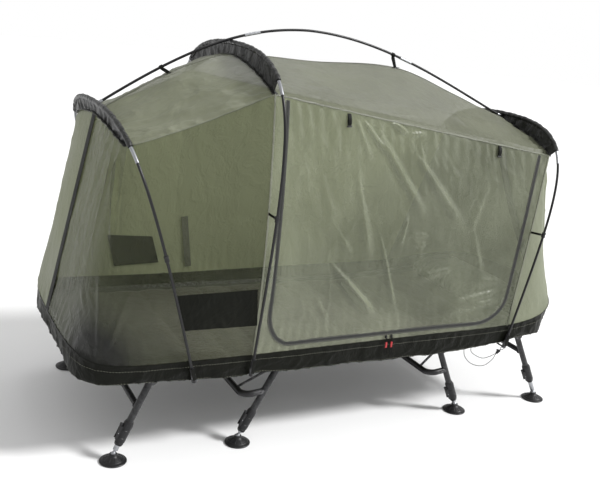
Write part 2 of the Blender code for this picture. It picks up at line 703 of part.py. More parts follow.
def build_lever(name, leg, side, plastic):
    """Thumb lever of the height lock, between its cheeks."""
    hinge, up, face, bottom = lever_place(leg, side)
    turn = Matrix((face, Vector((0, 1, 0)), face.cross(Vector((0, 1, 0))))).transposed()
    body = block("lever", hinge + up * (LEVER_LENGTH * LEVER_LOW), (LEVER_T, LEVER_WIDTH, LEVER_LENGTH),
                 turn=turn)
    tip = block("tip", hinge + up * (LEVER_LENGTH * LEVER_TIP_AT) + face * LEVER_TIP_OUT,
                (LEVER_TIP[0], LEVER_WIDTH, LEVER_TIP[1]), turn=turn)
    hole = rod("hole", hinge - Vector((0, LEVER_WIDTH, 0)), hinge + Vector((0, LEVER_WIDTH, 0)),
               LEVER_HOLE_R, segments=8)
    body = cut_or_join(body, [tip], "UNION")
    body = cut_or_join(body, [hole], "DIFFERENCE")
    body.name = name
    body.data.materials.clear()
    body.data.materials.append(plastic)
    move_origin(body, hinge)
    shade(body)


def build_legs(paint, alloy, plastic):
    """Four folding leg pairs with sliding inner legs, swivel feet and lock levers."""
    for number, leg in enumerate(LEGS, 1):
        build_leg_frame("leg_frame_%d" % number, leg, paint)
        for word, side in SIDES.items():
            build_inner_leg("inner_leg_%d_%s" % (number, word), leg, side, alloy)
            build_mud_foot("mud_foot_%d_%s" % (number, word), leg, side, plastic)
            build_lever("lock_lever_%d_%s" % (number, word), leg, side, plastic)


# Deck, mattress and pillow

def half_width(x, inset):
    """Half the width of the frame's outline at a station, drawn in by inset."""
    radius = CORNER_R - inset
    edge = RAIL_Y - inset
    over = max(FRAME_FOOT_X + CORNER_R - x, x - (FRAME_HEAD_X - CORNER_R), 0.0)
    if radius <= 0.0 or over <= 0.0:
        return edge
    return edge - radius + math.sqrt(max(radius * radius - over * over, 0.0))


def deck_height(x, y):
    """Height of the deck's upper side on the flat bed."""
    rise = smooth(1.0 - (frame_inset(x, y) - TUBE_R) / (DECK_ROLL - TUBE_R))
    return RAIL_Z - DECK_SAG * (1.0 - rise)


def stations(insets, count):
    """Stations along the bed: the given insets from both ends, the raised section's joint, even steps."""
    first = [FRAME_FOOT_X + inset for inset in insets]
    last = [FRAME_HEAD_X - inset for inset in insets]
    steps = [lerp(first[-1], last[-1], k / count) for k in range(1, count)]
    return sorted(first + last + steps + [HEAD_HINGE_X])


def build_deck(cloth):
    """Fabric deck slung between the rails."""
    inset = TUBE_R + DECK_T
    rows = []
    for x in stations((inset, (inset + DECK_ROLL) / 2, DECK_ROLL, MATTRESS_MARGIN, CORNER_R * 0.6, CORNER_R),
                      DECK_STEPS):
        width = half_width(x, inset)
        rows.append([on_bed(x, s * width, deck_height(x, s * width)) for s in DECK_SHARES])
    sheet("deck", turned_over(rows), cloth, thickness=DECK_T)


def mattress_top(x, y):
    """Height of the mattress above its flat underside: crowned, with quilted channels across."""
    depth = frame_inset(x, y) - MATTRESS_MARGIN
    crown = MATTRESS_EDGE + (MATTRESS_T - MATTRESS_EDGE) * math.sin(min(depth / MATTRESS_CROWN, 1.0) * math.pi / 2)
    phase = (x - FRAME_FOOT_X) / CHANNEL
    seam = 1.0 - abs(math.sin(math.pi * phase)) ** 0.6
    return crown - CHANNEL_DIP * seam * min(depth / MATTRESS_CROWN * 2.0, 1.0)


def build_mattress(cloth):
    """Quilted mattress that lies on the deck between the rails."""
    inset = MATTRESS_MARGIN
    base = RAIL_Z - DECK_SAG + GAP * 2
    steps = round((FRAME_HEAD_X - FRAME_FOOT_X - 2 * inset) / CHANNEL) * CHANNEL_STEPS
    xs = stations((inset, inset + MATTRESS_LIP), steps)
    bm = bmesh.new()
    tops = []
    lows = []
    for x in xs:
        width = half_width(x, inset)
        tops.append([bm.verts.new(on_bed(x, s * width, base + mattress_top(x, s * width)))
                     for s in MATTRESS_SHARES])
        lows.append([bm.verts.new(on_bed(x, s * width, base)) for s in (-1.0, 1.0)])
    for i in range(len(xs) - 1):
        for j in range(len(MATTRESS_SHARES) - 1):
            bm.faces.new((tops[i][j], tops[i + 1][j], tops[i + 1][j + 1], tops[i][j + 1]))
        bm.faces.new((lows[i][0], lows[i][1], lows[i + 1][1], lows[i + 1][0]))
        bm.faces.new((tops[i][0], lows[i][0], lows[i + 1][0], tops[i + 1][0]))
        bm.faces.new((tops[i][-1], tops[i + 1][-1], lows[i + 1][1], lows[i][1]))
    bm.faces.new([*tops[0], lows[0][1], lows[0][0]])
    bm.faces.new([*reversed(tops[-1]), lows[-1][0], lows[-1][1]])
    shade(from_bmesh("mattress", bm, cloth), 50.0)


def resting_height(x, y):
    """World height of the mattress's upper side in the head section."""
    run = x + LENGTH / 2 - HEAD_HINGE_X
    station = HEAD_HINGE_X + run / math.cos(RECLINE)
    top = RAIL_Z - DECK_SAG + 2 * GAP + mattress_top(station, y)
    return on_bed(station, y, top).z


def build_pillow(cloth):
    """Crowned pillow leaning at the head end."""
    bm = bmesh.new()
    bmesh.ops.create_cube(bm, size=1.0)
    bmesh.ops.subdivide_edges(bm, edges=bm.edges[:], cuts=1, use_grid_fill=True)
    for v in bm.verts:
        corner = (abs(v.co.x) > 0.4) + (abs(v.co.y) > 0.4)
        v.co.z *= PILLOW_FULL[corner]
        v.co.x *= 1.0 + PILLOW_EARS * (corner == 2)
    bmesh.ops.scale(bm, vec=PILLOW_SIZE, verts=bm.verts)
    obj = from_bmesh("pillow", bm, cloth)
    form = obj.modifiers.new("form", "SUBSURF")
    form.levels = 2
    form.render_levels = 2
    obj.matrix_world = Matrix.Rotation(PILLOW_TILT, 4, "Y")
    bpy.context.view_layer.update()
    deps = bpy.context.evaluated_depsgraph_get()
    shape = [obj.matrix_world @ v.co for v in obj.evaluated_get(deps).data.vertices]
    place = on_bed(PILLOW_X, 0.0, RAIL_Z)
    fall = min(place.z + p.z - resting_height(place.x + p.x, p.y) for p in shape)
    obj.matrix_world = Matrix.Translation((place.x, 0.0, place.z - fall + PILLOW_GAP)) @ obj.matrix_world
    obj.data.shade_smooth()


# Poles

def hoop_point(hoop, t):
    """Point of a hoop's centre line, t from 0 at the near end to 1 at the top and 2 at the far end."""
    u = t if t <= 1.0 else 2.0 - t
    height = hoop["top"] - HOOP_Z
    half, rise = bezier((HOOP_Y, 0.0), (HOOP_Y + hoop["flare"], hoop["rise"]), (hoop["handle"], height),
                        (0.0, height), u)
    return at(hoop["x"] + hoop["lean"] * rise, -half if t <= 1.0 else half, HOOP_Z + rise)


def hoop_at(hoop, measure, value):
    """Place on the near half of a hoop where its half width or height reaches a value."""
    low, high = (0.25, 1.0) if measure == "width" else (0.0, 0.6)
    for _ in range(40):
        mid = (low + high) / 2
        p = hoop_point(hoop, mid)
        beyond = abs(p.y) < value if measure == "width" else p.z > value
        if beyond:
            high = mid
        else:
            low = mid
    return (low + high) / 2


def fin_places(hoop, steps):
    """Places on a hoop, even in half width, from the near end of its fin to its far end."""
    places = []
    for k in range(-steps, steps + 1):
        share = abs(k) / steps
        t = 1.0 if k == 0 else hoop_at(hoop, "width", hoop["fin"] * share)
        places.append(t if k <= 0 else 2.0 - t)
    return places


def hoop_route(hoop):
    """Centre line of a hoop with a point at each step of its fin."""
    fin = fin_places(hoop, FIN_STEPS)
    lower = [lerp(0.0, fin[0], k / HOOP_STEPS) for k in range(HOOP_STEPS)]
    places = lower + fin + [2.0 - t for t in reversed(lower)]
    return [hoop_point(hoop, t) for t in places]


def build_hoops(fibre):
    """Three hoops with the clips that hold the fabric to them."""
    for number, hoop in enumerate(HOOPS, 1):
        route = hoop_route(hoop)
        pole = settle(tube("hoop_%d" % number, route, POLE_R, fibre))
        tools = []
        height = CLIP_HEIGHT[number - 1]
        t = hoop_at(hoop, "height", height)
        here = hoop_point(hoop, t)
        along = (hoop_point(hoop, t + 0.01) - here).normalized()
        touch = wall_touch(number - 1, height)
        for side in SIDES.values():
            c = mirrored(here, side)
            a = mirrored(along, side)
            end = mirrored(touch, side)
            tools.append(rod("clip", c - a * CLIP_LENGTH / 2, c + a * CLIP_LENGTH / 2, CLIP_R, segments=11))
            tools.append(rod("hook", c + (end - c) * 0.1, end, CLIP_ARM_R, segments=7))
        shade(cut_or_join(pole, tools, "UNION", "MANIFOLD"))


def wall_touch(index, height):
    """Point on the near wall that a hoop's clip reaches."""
    column = HOOP_COLUMN[("foot", "door", "head")[index]]
    if index == 0:
        here = hoop_point(HOOPS[0], hoop_at(HOOPS[0], "height", height))
        best = min((wall_point(3 + k * 0.1, (height - 0.39) / 0.75) for k in range(0, 26)),
                   key=lambda p: (p - here).length)
        return best.lerp(here, CLIP_REACH / (best - here).length)
    low, high = 0.0, 1.0
    for _ in range(40):
        mid = (low + high) / 2
        if wall_point(column, mid).z > height:
            high = mid
        else:
            low = mid
    target = wall_point(column, low)
    here = hoop_point(HOOPS[index], hoop_at(HOOPS[index], "height", height))
    return target.lerp(here, CLIP_REACH / (target - here).length)


def ridge_point(t):
    """Point of the ridge pole, t from 0 at the foot end to 2 at the head end."""
    if t <= 1.0:
        x, z = bezier(*RIDGE[0:4], t)
    else:
        x, z = bezier(*RIDGE[3:7], t - 1.0)
    return at(x, 0.0, z)


def ridge_at(station):
    """Point of the ridge pole above a station."""
    low, high = 0.0, 2.0
    for _ in range(40):
        mid = (low + high) / 2
        if ridge_point(mid).x + LENGTH / 2 > station:
            high = mid
        else:
            low = mid
    return ridge_point(low), (ridge_point(low + 0.01) - ridge_point(low)).normalized()


def build_ridge_pole(fibre):
    """Pole along the ridge, with the clips of its two hangers left to their own pieces."""
    points = [ridge_point(2.0 * k / (2 * RIDGE_STEPS)) for k in range(2 * RIDGE_STEPS + 1)]
    tube("ridge_pole", points, POLE_R, fibre)


def build_hangers(webbing):
    """Straps that hang the roof from the ridge pole, each with a sleeve round the pole."""
    for number, (on_pole, on_roof) in enumerate(HANGERS, 1):
        top, along = ridge_at(on_pole)
        low = roof_ridge(on_roof) + Vector((0.0, 0.0, HANGER_GAP))
        sleeve = rod("ridge_hanger_%d" % number, top - along * HANGER_WIDTH / 2, top + along * HANGER_WIDTH / 2,
                     POLE_R + SLEEVE_WALL + SLEEVE_CLEARANCE, webbing, segments=16)
        down = low - top
        up = -down.normalized()
        sideways = Vector((0.0, 1.0, 0.0))
        turn = Matrix((sideways.cross(up), sideways, up)).transposed()
        start = top - up * (POLE_R + SLEEVE_CLEARANCE + SLEEVE_WALL / 2)
        strap = block("strap", (start + low) / 2, (STRAP_WIDTH, HANGER_T, (start - low).length), turn=turn)
        bore = rod("bore", top - along * 2 * HANGER_WIDTH, top + along * 2 * HANGER_WIDTH,
                   POLE_R + SLEEVE_CLEARANCE, segments=16)
        made = cut_or_join(sleeve, [strap], "UNION")
        shade(cut_or_join(made, [bore], "DIFFERENCE"))


# Fabric of the tent

def wall_edges(s):
    """Top of the tub, roof seam and bulge of the near wall at column s."""
    low = spline([w[0] for w in WALL], s)
    i = min(int(s), len(WALL) - 2)
    f = s - i
    corner = HOOP_COLUMN.values()
    before = max([c for c in (0, *corner) if c <= s + 1e-9])
    after = min([c for c in (*corner, len(WALL) - 1) if c > s + 1e-9], default=len(WALL) - 1)
    if before == after:
        before = max(c for c in (0, *corner) if c < after)
    run = [w[1] for w in WALL[before:after + 1]]
    high = spline(run, s - before)
    return low, high, lerp(WALL[i][2], WALL[i + 1][2], f)


def column_at(station):
    """Column of the wall whose foot stands at a station."""
    low, high = 0.0, len(WALL) - 1.0
    for _ in range(40):
        mid = (low + high) / 2
        if wall_edges(mid)[0].x > station:
            high = mid
        else:
            low = mid
    return low


def wall_point(s, t):
    """Point of the near wall's outer side at column s, t from 0 at the tub to 1 at the roof seam."""
    low, high, bulge = wall_edges(s)
    here = low.lerp(high, t)
    centre = Vector((min(max(here.x, 0.5), LENGTH - 0.5), 0.0, here.z))
    out = (here - centre).normalized()
    here = here + out * (bulge * 4.0 * t * (1.0 - t))
    return at(here.x, -here.y, here.z)


def across(rows):
    """Rows of the near side carried to the far side."""
    return [[Vector((p.x, -p.y, p.z)) for p in row] for row in rows]


def turned_over(rows):
    """Rows in the other order, so that their panel faces the other way."""
    return list(reversed(rows))


def wall_rows(start, end, steps, levels, t0=0.0, t1=1.0):
    """Grid of the near wall between two columns."""
    return [[wall_point(lerp(start, end, i / steps), lerp(t0, t1, j / levels)) for j in range(levels + 1)]
            for i in range(steps + 1)]


def roof_ridge(station):
    """Point of the roof on its middle line."""
    low, high = 0.0, len(RIDGE_LINE) - 1.0
    line = [(x, 0.0, z) for x, z in RIDGE_LINE]
    for _ in range(40):
        mid = (low + high) / 2
        if spline(line, mid).x > station:
            high = mid
        else:
            low = mid
    return at(*spline(line, low))


def roof_point(u, v):
    """Point of the roof's outer side: u counts wall columns, v from -1 at the near seam to 1."""
    seam = wall_edges(u)[1]
    a, b, c = HOOP_COLUMN.values()
    if u <= b:
        f = (u - a) / (b - a)
        span = (RIDGE_LINE[0][0], RIDGE_LINE[4][0])
    else:
        f = (u - b) / (c - b)
        span = (RIDGE_LINE[4][0], RIDGE_LINE[-1][0])
    first = wall_edges(a if u <= b else b)[1].x
    last = wall_edges(b if u <= b else c)[1].x
    share = (seam.x - first) / (last - first)
    ridge = roof_ridge(lerp(*span, share))
    ridge_station = ridge.x + LENGTH / 2
    power = lerp(ROOF_ROUND["hoop"], ROOF_ROUND["middle"], math.sin(math.pi * f))
    w = abs(v)
    x = lerp(ridge_station, seam.x, w ** 1.5)
    y = math.copysign(abs(seam.y) * w, v) if w else 0.0
    return at(x, y, ridge.z - (ridge.z - seam.z) * w ** power)


def roof_rows(start, end, steps):
    """Grid of the roof between two hoops, from seam to seam."""
    return [[roof_point(lerp(start, end, i / steps), v) for v in ROOF_SHARES] for i in range(steps + 1)]


def build_canopy(olive, mesh_cloth, green):
    """Fabric panels of the tent: foot walls, main walls, head end and roof."""
    foot, door, head = HOOP_COLUMN.values()
    side = wall_rows(0.0, float(door), 12, 5, t1=1.0 - TOP_TRIM)
    for p in side[0]:
        p.y -= PANEL_GAP / 2
    for p in side[-1]:
        p.x -= SEAM_TRIM
    sheet("wall_foot_near", turned_over(side), mesh_cloth)
    sheet("wall_foot_far", across(side), green)
    main = wall_rows(float(door), float(head), 6, 5, t1=1.0 - TOP_TRIM)
    for p in main[0]:
        p.x += PANEL_GAP / 2
    for p in main[-1]:
        p.x -= PANEL_GAP / 2
    sheet("wall_main_far", across(main), olive)
    end = wall_rows(float(head), len(WALL) - 1.0, 8, 5, t1=1.0 - TOP_TRIM)
    for p in end[0]:
        p.x += SEAM_TRIM
    whole = end + turned_over(across(end))[1:]
    sheet("wall_head", turned_over(whole), olive)
    roof = roof_rows(float(foot), float(door), 6)[:-1] + roof_rows(float(door), float(head), 6)
    sheet("roof", [list(reversed(row)) for row in roof], olive)


# Door

def door_point(p, q):
    """Point of the near main wall at share p between the hoops and q up from the tub."""
    a = HOOP_COLUMN["door"]
    b = HOOP_COLUMN["head"]
    return wall_point(lerp(a, b, p), q)


def door_outline(out):
    """Shares along and up the wall down the left side of the door, round the bottom and up the right."""
    span = WALL[HOOP_COLUMN["head"]][0][0] - WALL[HOOP_COLUMN["door"]][0][0]
    rise = WALL[HOOP_COLUMN["door"]][1][2] - WALL[HOOP_COLUMN["door"]][0][2]
    left = DOOR_LEFT - out / span
    right = DOOR_RIGHT + out / span
    low = DOOR_BOTTOM - out / rise
    rp = DOOR_CORNER_R / span
    rq = DOOR_CORNER_R / rise
    outline = [(left, q) for q in (DOOR_TOP, *DOOR_SIDE_MARKS)]
    for k in range(5):
        angle = math.radians(22.5 * k)
        outline.append((left + rp * (1 - math.cos(angle)), low + rq * (1 - math.sin(angle))))
    for k in range(1, 6):
        outline.append((lerp(left + rp, right - rp, k / 6), low))
    for k in range(5):
        angle = math.radians(22.5 * k)
        outline.append((right - rp * (1 - math.sin(angle)), low + rq * (1 - math.cos(angle))))
    outline += [(right, q) for q in (*reversed(DOOR_SIDE_MARKS), DOOR_TOP)]
    return outline


def build_door(panel, surround):
    """Door panel and the fabric round it, parted by the zip."""
    inner = door_outline(0.0)
    outer = door_outline(DOOR_GAP)
    rows = []
    for (p, q) in outer:
        if p <= outer[0][0] + 1e-9:
            edge = (0.0, q)
        elif p >= outer[-1][0] - 1e-9:
            edge = (1.0, q)
        elif q <= DOOR_BOTTOM:
            edge = (p, 0.0)
        elif p < 0.5:
            edge = (p * 0.3, q * 0.3) if q < 0.15 else (0.0, q * 0.8)
        else:
            edge = (1 - (1 - p) * 0.3, q * 0.3) if q < 0.15 else (1.0, q * 0.8)
        rows.append(((p, q), edge))
    grid = []
    for (p, q), (ep, eq) in rows:
        here = door_point(p, q)
        rim = door_point(ep, eq)
        if ep <= 0.0:
            rim.x += PANEL_GAP / 2
        elif ep >= 1.0:
            rim.x -= PANEL_GAP / 2
        grid.append([rim, door_point(lerp(ep, p, 0.5), lerp(eq, q, 0.5)), here])
    sheet("door_surround", [list(reversed(r)) for r in grid], surround)
    bottom = inner[4:-4]
    columns = [(inner[0][0], inner[4][1])] + bottom[1:-1] + [(inner[-1][0], inner[-5][1])]
    door_rows = []
    for p, q in columns:
        door_rows.append([door_point(p, lerp(q, DOOR_TOP, j / 5)) for j in range(6)])
    door = sheet("door", turned_over(door_rows), panel)
    door = settle(door)
    move_origin(door, door_hinge()[0])
    shade(door, 60.0)


def door_hinge():
    """Middle of the door's top edge and the direction of its hinge line."""
    left = door_point(DOOR_LEFT, DOOR_TOP)
    right = door_point(DOOR_RIGHT, DOOR_TOP)
    return (left + right) / 2, (right - left).normalized()


# Fins

def build_fins(gathered):
    """Gathered fins between the hoops and the roof, each with the sleeve its hoop runs through."""
    columns = list(HOOP_COLUMN.values())
    for number, hoop in enumerate(HOOPS, 1):
        places = fin_places(hoop, FIN_STEPS)
        column = columns[number - 1]
        outer_rings = []
        inner_rings = []
        bm = bmesh.new()
        for share, t in zip(ROOF_SHARES, places):
            pole = hoop_point(hoop, t)
            along = (hoop_point(hoop, t + 0.004) - hoop_point(hoop, t - 0.004)).normalized()
            cloth = roof_point(column, share)
            up = pole - cloth
            low = cloth + up.normalized() * FIN_GAP
            up = (up - along * up.dot(along)).normalized()
            side = along.cross(up)
            r_out = POLE_R + SLEEVE_CLEARANCE + SLEEVE_WALL
            r_in = POLE_R + SLEEVE_CLEARANCE
            angles = [math.radians(lerp(-SLEEVE_OPEN, 180.0 + SLEEVE_OPEN, k / (SLEEVE_SIDES - 1)))
                      for k in range(SLEEVE_SIDES)]
            ring = [pole + side * (r_out * math.cos(a)) + up * (r_out * math.sin(a)) for a in angles]
            ring.append(low - side * FIN_WEB / 2)
            ring.append(low + side * FIN_WEB / 2)
            outer_rings.append([bm.verts.new(p) for p in ring])
            angles += [math.radians(a) for a in BORE_FOOT]
            bore = [pole + side * (r_in * math.cos(a)) + up * (r_in * math.sin(a)) for a in angles]
            inner_rings.append([bm.verts.new(p) for p in bore])
        count = SLEEVE_SIDES + 2
        pairs = [*zip(outer_rings, outer_rings[1:]), *zip(inner_rings, inner_rings[1:]),
                 (outer_rings[0], inner_rings[0]), (outer_rings[-1], inner_rings[-1])]
        for a, b in pairs:
            for k in range(count):
                bm.faces.new((a[k], b[k], b[(k + 1) % count], a[(k + 1) % count]))
        shade(from_bmesh("fin_%d" % number, bm, gathered))


# Tub

def tub_column(s):
    """Section of the tub below wall column s: top, belly, hem and lip under the rail."""
    low = wall_edges(s)[0]
    top = at(low.x, -low.y, low.z)
    x1, y1 = frame_point(low.x, -low.y, TUB_OUT)
    x2, y2 = frame_point(low.x, -low.y, TUB_BOTTOM_OUT)
    x3, y3 = frame_point(low.x, -low.y, -LIP_IN)
    belly = on_bed(x1, y1, RAIL_Z - 0.004)
    hem = on_bed(x2, y2, RAIL_Z - TUB_BOTTOM)
    lip = on_bed(x3, y3, RAIL_Z - TUBE_R - GAP - FABRIC_T)
    edge = top - Vector((0.0, 0.0, TUB_DROP))
    return [edge, belly, hem, lip]


def build_tub(cloth):
    """Skirt of the tent: rises from under the rails to the foot of the walls, all the way round."""
    last = len(WALL) - 1
    marks = sorted([k / 2 for k in range(2 * last + 1)] + [column_at(HEAD_HINGE_X)])
    near = [tub_column(s) for s in marks]
    sheet("tub", near + turned_over(across(near[1:-1])), cloth, closed=True)


# Zip sliders and drawcord

def build_sliders(metal):
    """Two zip sliders with their pulls, on the lower tape of the door's zip."""
    for number, x in enumerate(SLIDER_X, 1):
        low = WALL[HOOP_COLUMN["door"]][0][0]
        span = WALL[HOOP_COLUMN["head"]][0][0] - low
        p = (x - low) / span
        here = door_point(p, DOOR_BOTTOM * 0.45)
        body = block("slider", here + Vector((0.0, -SLIDER[1] / 2 - 2 * GAP, 0.0)), SLIDER, round_edges=0.001)
        pull = block("pull", here + Vector((0.0, -SLIDER[1] * 0.8, -SLIDER[2] * 0.3 - PULL[2] / 2)), PULL,
                     round_edges=0.0006)
        made = cut_or_join(body, [pull], "UNION")
        made.name = "zip_slider_%d" % number
        made.data.materials.clear()
        made.data.materials.append(metal)
        shade(made)


def build_drawcord(cord, plastic):
    """Loop of the hem's drawcord that hangs below the near side, with its cord lock."""
    lock = Vector(LOCK_AT)
    axis = Vector((math.cos(LOCK_TURN), 0.0, math.sin(LOCK_TURN)))
    start = lock - axis * LOCK_LENGTH / 2
    end = lock + axis * LOCK_LENGTH / 2
    body = rod("cord_lock", at(*start), at(*end), LOCK_R, plastic, segments=16)
    slot = block("slot", at(*lock), (LOCK_LENGTH * 1.5, *LOCK_SLOT),
                 turn=Matrix.Rotation(-LOCK_TURN, 3, "Y"))
    button = rod("button", at(*(lock + Vector((-axis.z, 0, axis.x)) * LOCK_R * 0.8)),
                 at(*(lock + Vector((-axis.z, 0, axis.x)) * (LOCK_R + BUTTON_H))), BUTTON_R, segments=12)
    body = cut_or_join(body, [button], "UNION")
    shade(cut_or_join(body, [slot], "DIFFERENCE"))
    route = list(CORD_ROUTE)
    aside = Vector((0.0, CORD_APART / 2, 0.0))
    before = start - axis * CORD_LEAD
    wide = Vector((0.0, CORD_TIP_WIDE, 0.0))
    route += [before - aside, start - aside, end - aside, end + axis * CORD_LEAD - aside,
              end + axis * CORD_TIP * 0.6 - wide, end + axis * CORD_TIP,
              end + axis * CORD_TIP * 0.6 + wide, end + axis * CORD_LEAD + aside, end + aside,
              start + aside, before + aside]
    route += list(CORD_RETURN)
    points = [at(*spline(route, (len(route) - 1) * k / CORD_STEPS)) for k in range(CORD_STEPS + 1)]
    tube("drawcord", points, CORD_R, cord, 2)


# Assembly

def build():
    """The whole bivvy."""
    steel = make_material("Black painted steel", (0.012, 0.012, 0.013), 0.45, 0.0)
    alloy = make_material("Bare alloy", (0.62, 0.63, 0.65), 0.35, 1.0)
    plastic = make_material("Black plastic", (0.015, 0.015, 0.016), 0.32)
    fibre = make_material("Black pole", (0.010, 0.010, 0.012), 0.35)
    olive = make_material("Olive cloth", (0.16, 0.18, 0.10), 0.55)
    mesh_cloth = make_material("Olive mesh", (0.13, 0.14, 0.09), 0.60)
    green = make_material("Green cloth", (0.09, 0.12, 0.06), 0.60)
    dark = make_material("Dark olive skirt", (0.035, 0.040, 0.025), 0.50)
    gathered = make_material("Black webbing", (0.012, 0.012, 0.012), 0.80)
    quilt = make_material("Quilted cloth", (0.16, 0.16, 0.11), 0.85)
    red = make_material("Red pull", (0.45, 0.02, 0.02), 0.40)
    build_frame(steel)
    build_section_hinges(steel)
    build_legs(steel, alloy, plastic)
    build_deck(dark)
    build_mattress(quilt)
    build_pillow(quilt)
    build_hoops(fibre)
    build_ridge_pole(fibre)
    build_hangers(gathered)
    build_fins(gathered)
    build_tub(dark)
    build_canopy(olive, mesh_cloth, green)
    build_door(olive, olive)
    build_sliders(red)
    build_drawcord(gathered, plastic)


clear_scene()
PARTS = make_collection("Fishing bivvy")
build()
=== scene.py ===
"""Looks of the fishing bivvy: cloth, mesh, poles, bed and legs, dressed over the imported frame."""

import logging
import math
from dataclasses import dataclass, field
from enum import Enum
from typing import Callable, Sequence

import bmesh
import bpy
from mathutils import Matrix, Vector, noise


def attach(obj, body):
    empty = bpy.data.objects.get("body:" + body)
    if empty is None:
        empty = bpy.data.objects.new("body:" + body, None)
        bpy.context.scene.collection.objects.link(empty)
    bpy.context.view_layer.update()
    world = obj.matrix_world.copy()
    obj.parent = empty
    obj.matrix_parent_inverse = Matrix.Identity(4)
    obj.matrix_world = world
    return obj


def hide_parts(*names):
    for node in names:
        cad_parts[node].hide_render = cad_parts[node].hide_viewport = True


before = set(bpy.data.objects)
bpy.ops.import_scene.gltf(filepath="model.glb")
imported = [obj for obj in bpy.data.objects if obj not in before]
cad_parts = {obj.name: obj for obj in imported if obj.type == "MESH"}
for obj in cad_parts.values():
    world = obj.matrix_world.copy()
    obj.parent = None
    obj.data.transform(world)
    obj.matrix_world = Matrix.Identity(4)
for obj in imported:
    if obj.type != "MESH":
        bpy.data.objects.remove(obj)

LOG = logging.getLogger("bivvy")
LENGTH = 2.19
RAIL_Z = 0.335
RAIL_Y = 0.445
HEAD_HINGE_X = 1.545
RECLINE = math.radians(4.0)
FRAME_FOOT_X = 0.045
FRAME_HEAD_X = 2.050
CORNER_R = 0.120
NEAR = -1.0
FAR = 1.0
NEAR_OUT = (0.0, -0.985, 0.17)
ACROSS = Vector((0.0, 1.0, 0.0))
SIDES: dict[str, float] = {"near": NEAR, "far": FAR}

Piece = bpy.types.Object
Node = bpy.types.Node
Output = bpy.types.NodeSocket
Pair = tuple[float, float]
Triple = tuple[float, float, float]
Line = Sequence[Vector]
Grid = Sequence[Line]
Rows = list[list[Vector]]


# Placing


def at(x: float, y: float, z: float) -> Vector:
    """Return the model's point for a station along the bed, a side distance and a height."""
    return Vector((x - LENGTH / 2, y, z))


def on_bed(x: float, y: float, z: float) -> Vector:
    """Return the model's point for a place on the flat bed, with the head section raised.

    Args:
        x: Station along the bed.
        y: Side distance.
        z: Height before the head section is raised.

    Returns:
        The point in the model's own coordinates.
    """
    if x <= HEAD_HINGE_X:
        return at(x, y, z)
    dx = x - HEAD_HINGE_X
    dz = z - RAIL_Z
    return at(HEAD_HINGE_X + dx * math.cos(RECLINE) - dz * math.sin(RECLINE), y,
              RAIL_Z + dx * math.sin(RECLINE) + dz * math.cos(RECLINE))


def lerp(a: float, b: float, t: float) -> float:
    """Return the value between a and b."""
    return a + (b - a) * t


def shares(start: float, end: float, count: int) -> list[float]:
    """Return even steps from start to end, both included."""
    return [lerp(start, end, k / count) for k in range(count + 1)]


def crossing(passed: Callable[[float], bool], low: float, high: float, steps: int = 30) -> Pair:
    """Halve a range again and again round the place where a test turns true.

    Args:
        passed: Whether a value lies past the place.
        low: The range's end before the place.
        high: Its end past the place.
        steps: How often it is halved.

    Returns:
        Both ends of the narrowed range.
    """
    for _ in range(steps):
        middle = (low + high) / 2
        if passed(middle):
            high = middle
        else:
            low = middle
    return low, high


def smooth(t: float) -> float:
    """Return an ease from 0 to 1 with level ends."""
    t = min(max(t, 0.0), 1.0)
    return t * t * (3.0 - 2.0 * t)


def spline(points: Line, t: float) -> Vector:
    """Return the point at t of a smooth curve through the points, where t counts the points.

    Args:
        points: The points that the curve goes through.
        t: Place along the curve.

    Returns:
        The point at t.
    """
    i = min(max(int(math.floor(t)), 0), len(points) - 2)
    f = t - i
    p1 = Vector(points[i])
    p2 = Vector(points[i + 1])
    p0 = Vector(points[i - 1]) if i > 0 else p1 * 2 - p2
    p3 = Vector(points[i + 2]) if i + 2 < len(points) else p2 * 2 - p1
    span = (p2 - p1).length
    m1 = (p2 - p0) / ((p2 - p0).length + 1e-9) * span
    m2 = (p3 - p1) / ((p3 - p1).length + 1e-9) * span
    f2 = f * f
    f3 = f2 * f
    return (p1 * (2 * f3 - 3 * f2 + 1) + m1 * (f3 - 2 * f2 + f)
            + p2 * (3 * f2 - 2 * f3) + m2 * (f3 - f2))


def bezier(points: Sequence[Sequence[float]], t: float) -> tuple[float, ...]:
    """Return the point at t of a cubic curve with four control points."""
    u = 1.0 - t
    weights = (u ** 3, 3 * u * u * t, 3 * u * t * t, t ** 3)
    return tuple(sum(w * p[k] for w, p in zip(weights, points)) for k in range(len(points[0])))


def frame_core(x: float, y: float) -> Pair:
    """Return the place nearest to x, y in the box that the frame's corners are rounded about."""
    return (min(max(x, FRAME_FOOT_X + CORNER_R), FRAME_HEAD_X - CORNER_R),
            min(max(y, -(RAIL_Y - CORNER_R)), RAIL_Y - CORNER_R))


def frame_inset(x: float, y: float) -> float:
    """Return how far inside the bed frame's outline a place on the bed lies.

    Args:
        x: Station along the bed.
        y: Side distance.

    Returns:
        The distance, below zero outside the outline.
    """
    core_x, core_y = frame_core(x, y)
    away = math.hypot(x - core_x, y - core_y)
    if away > 1e-9:
        return CORNER_R - away
    return min(x - FRAME_FOOT_X, FRAME_HEAD_X - x, RAIL_Y - abs(y))


def frame_point(x: float, y: float, out: float) -> Pair:
    """Return the place on the frame's outline nearest to a place, moved outwards.

    Args:
        x: Station along the bed.
        y: Side distance.
        out: How far it is moved.

    Returns:
        Its station and side distance.
    """
    core_x, core_y = frame_core(x, y)
    away = Vector((x - core_x, y - core_y))
    if away.length < 1e-6:
        away = Vector((0.0, math.copysign(1.0, y)))
    away.normalize()
    return core_x + away.x * (CORNER_R + out), core_y + away.y * (CORNER_R + out)


# Node trees


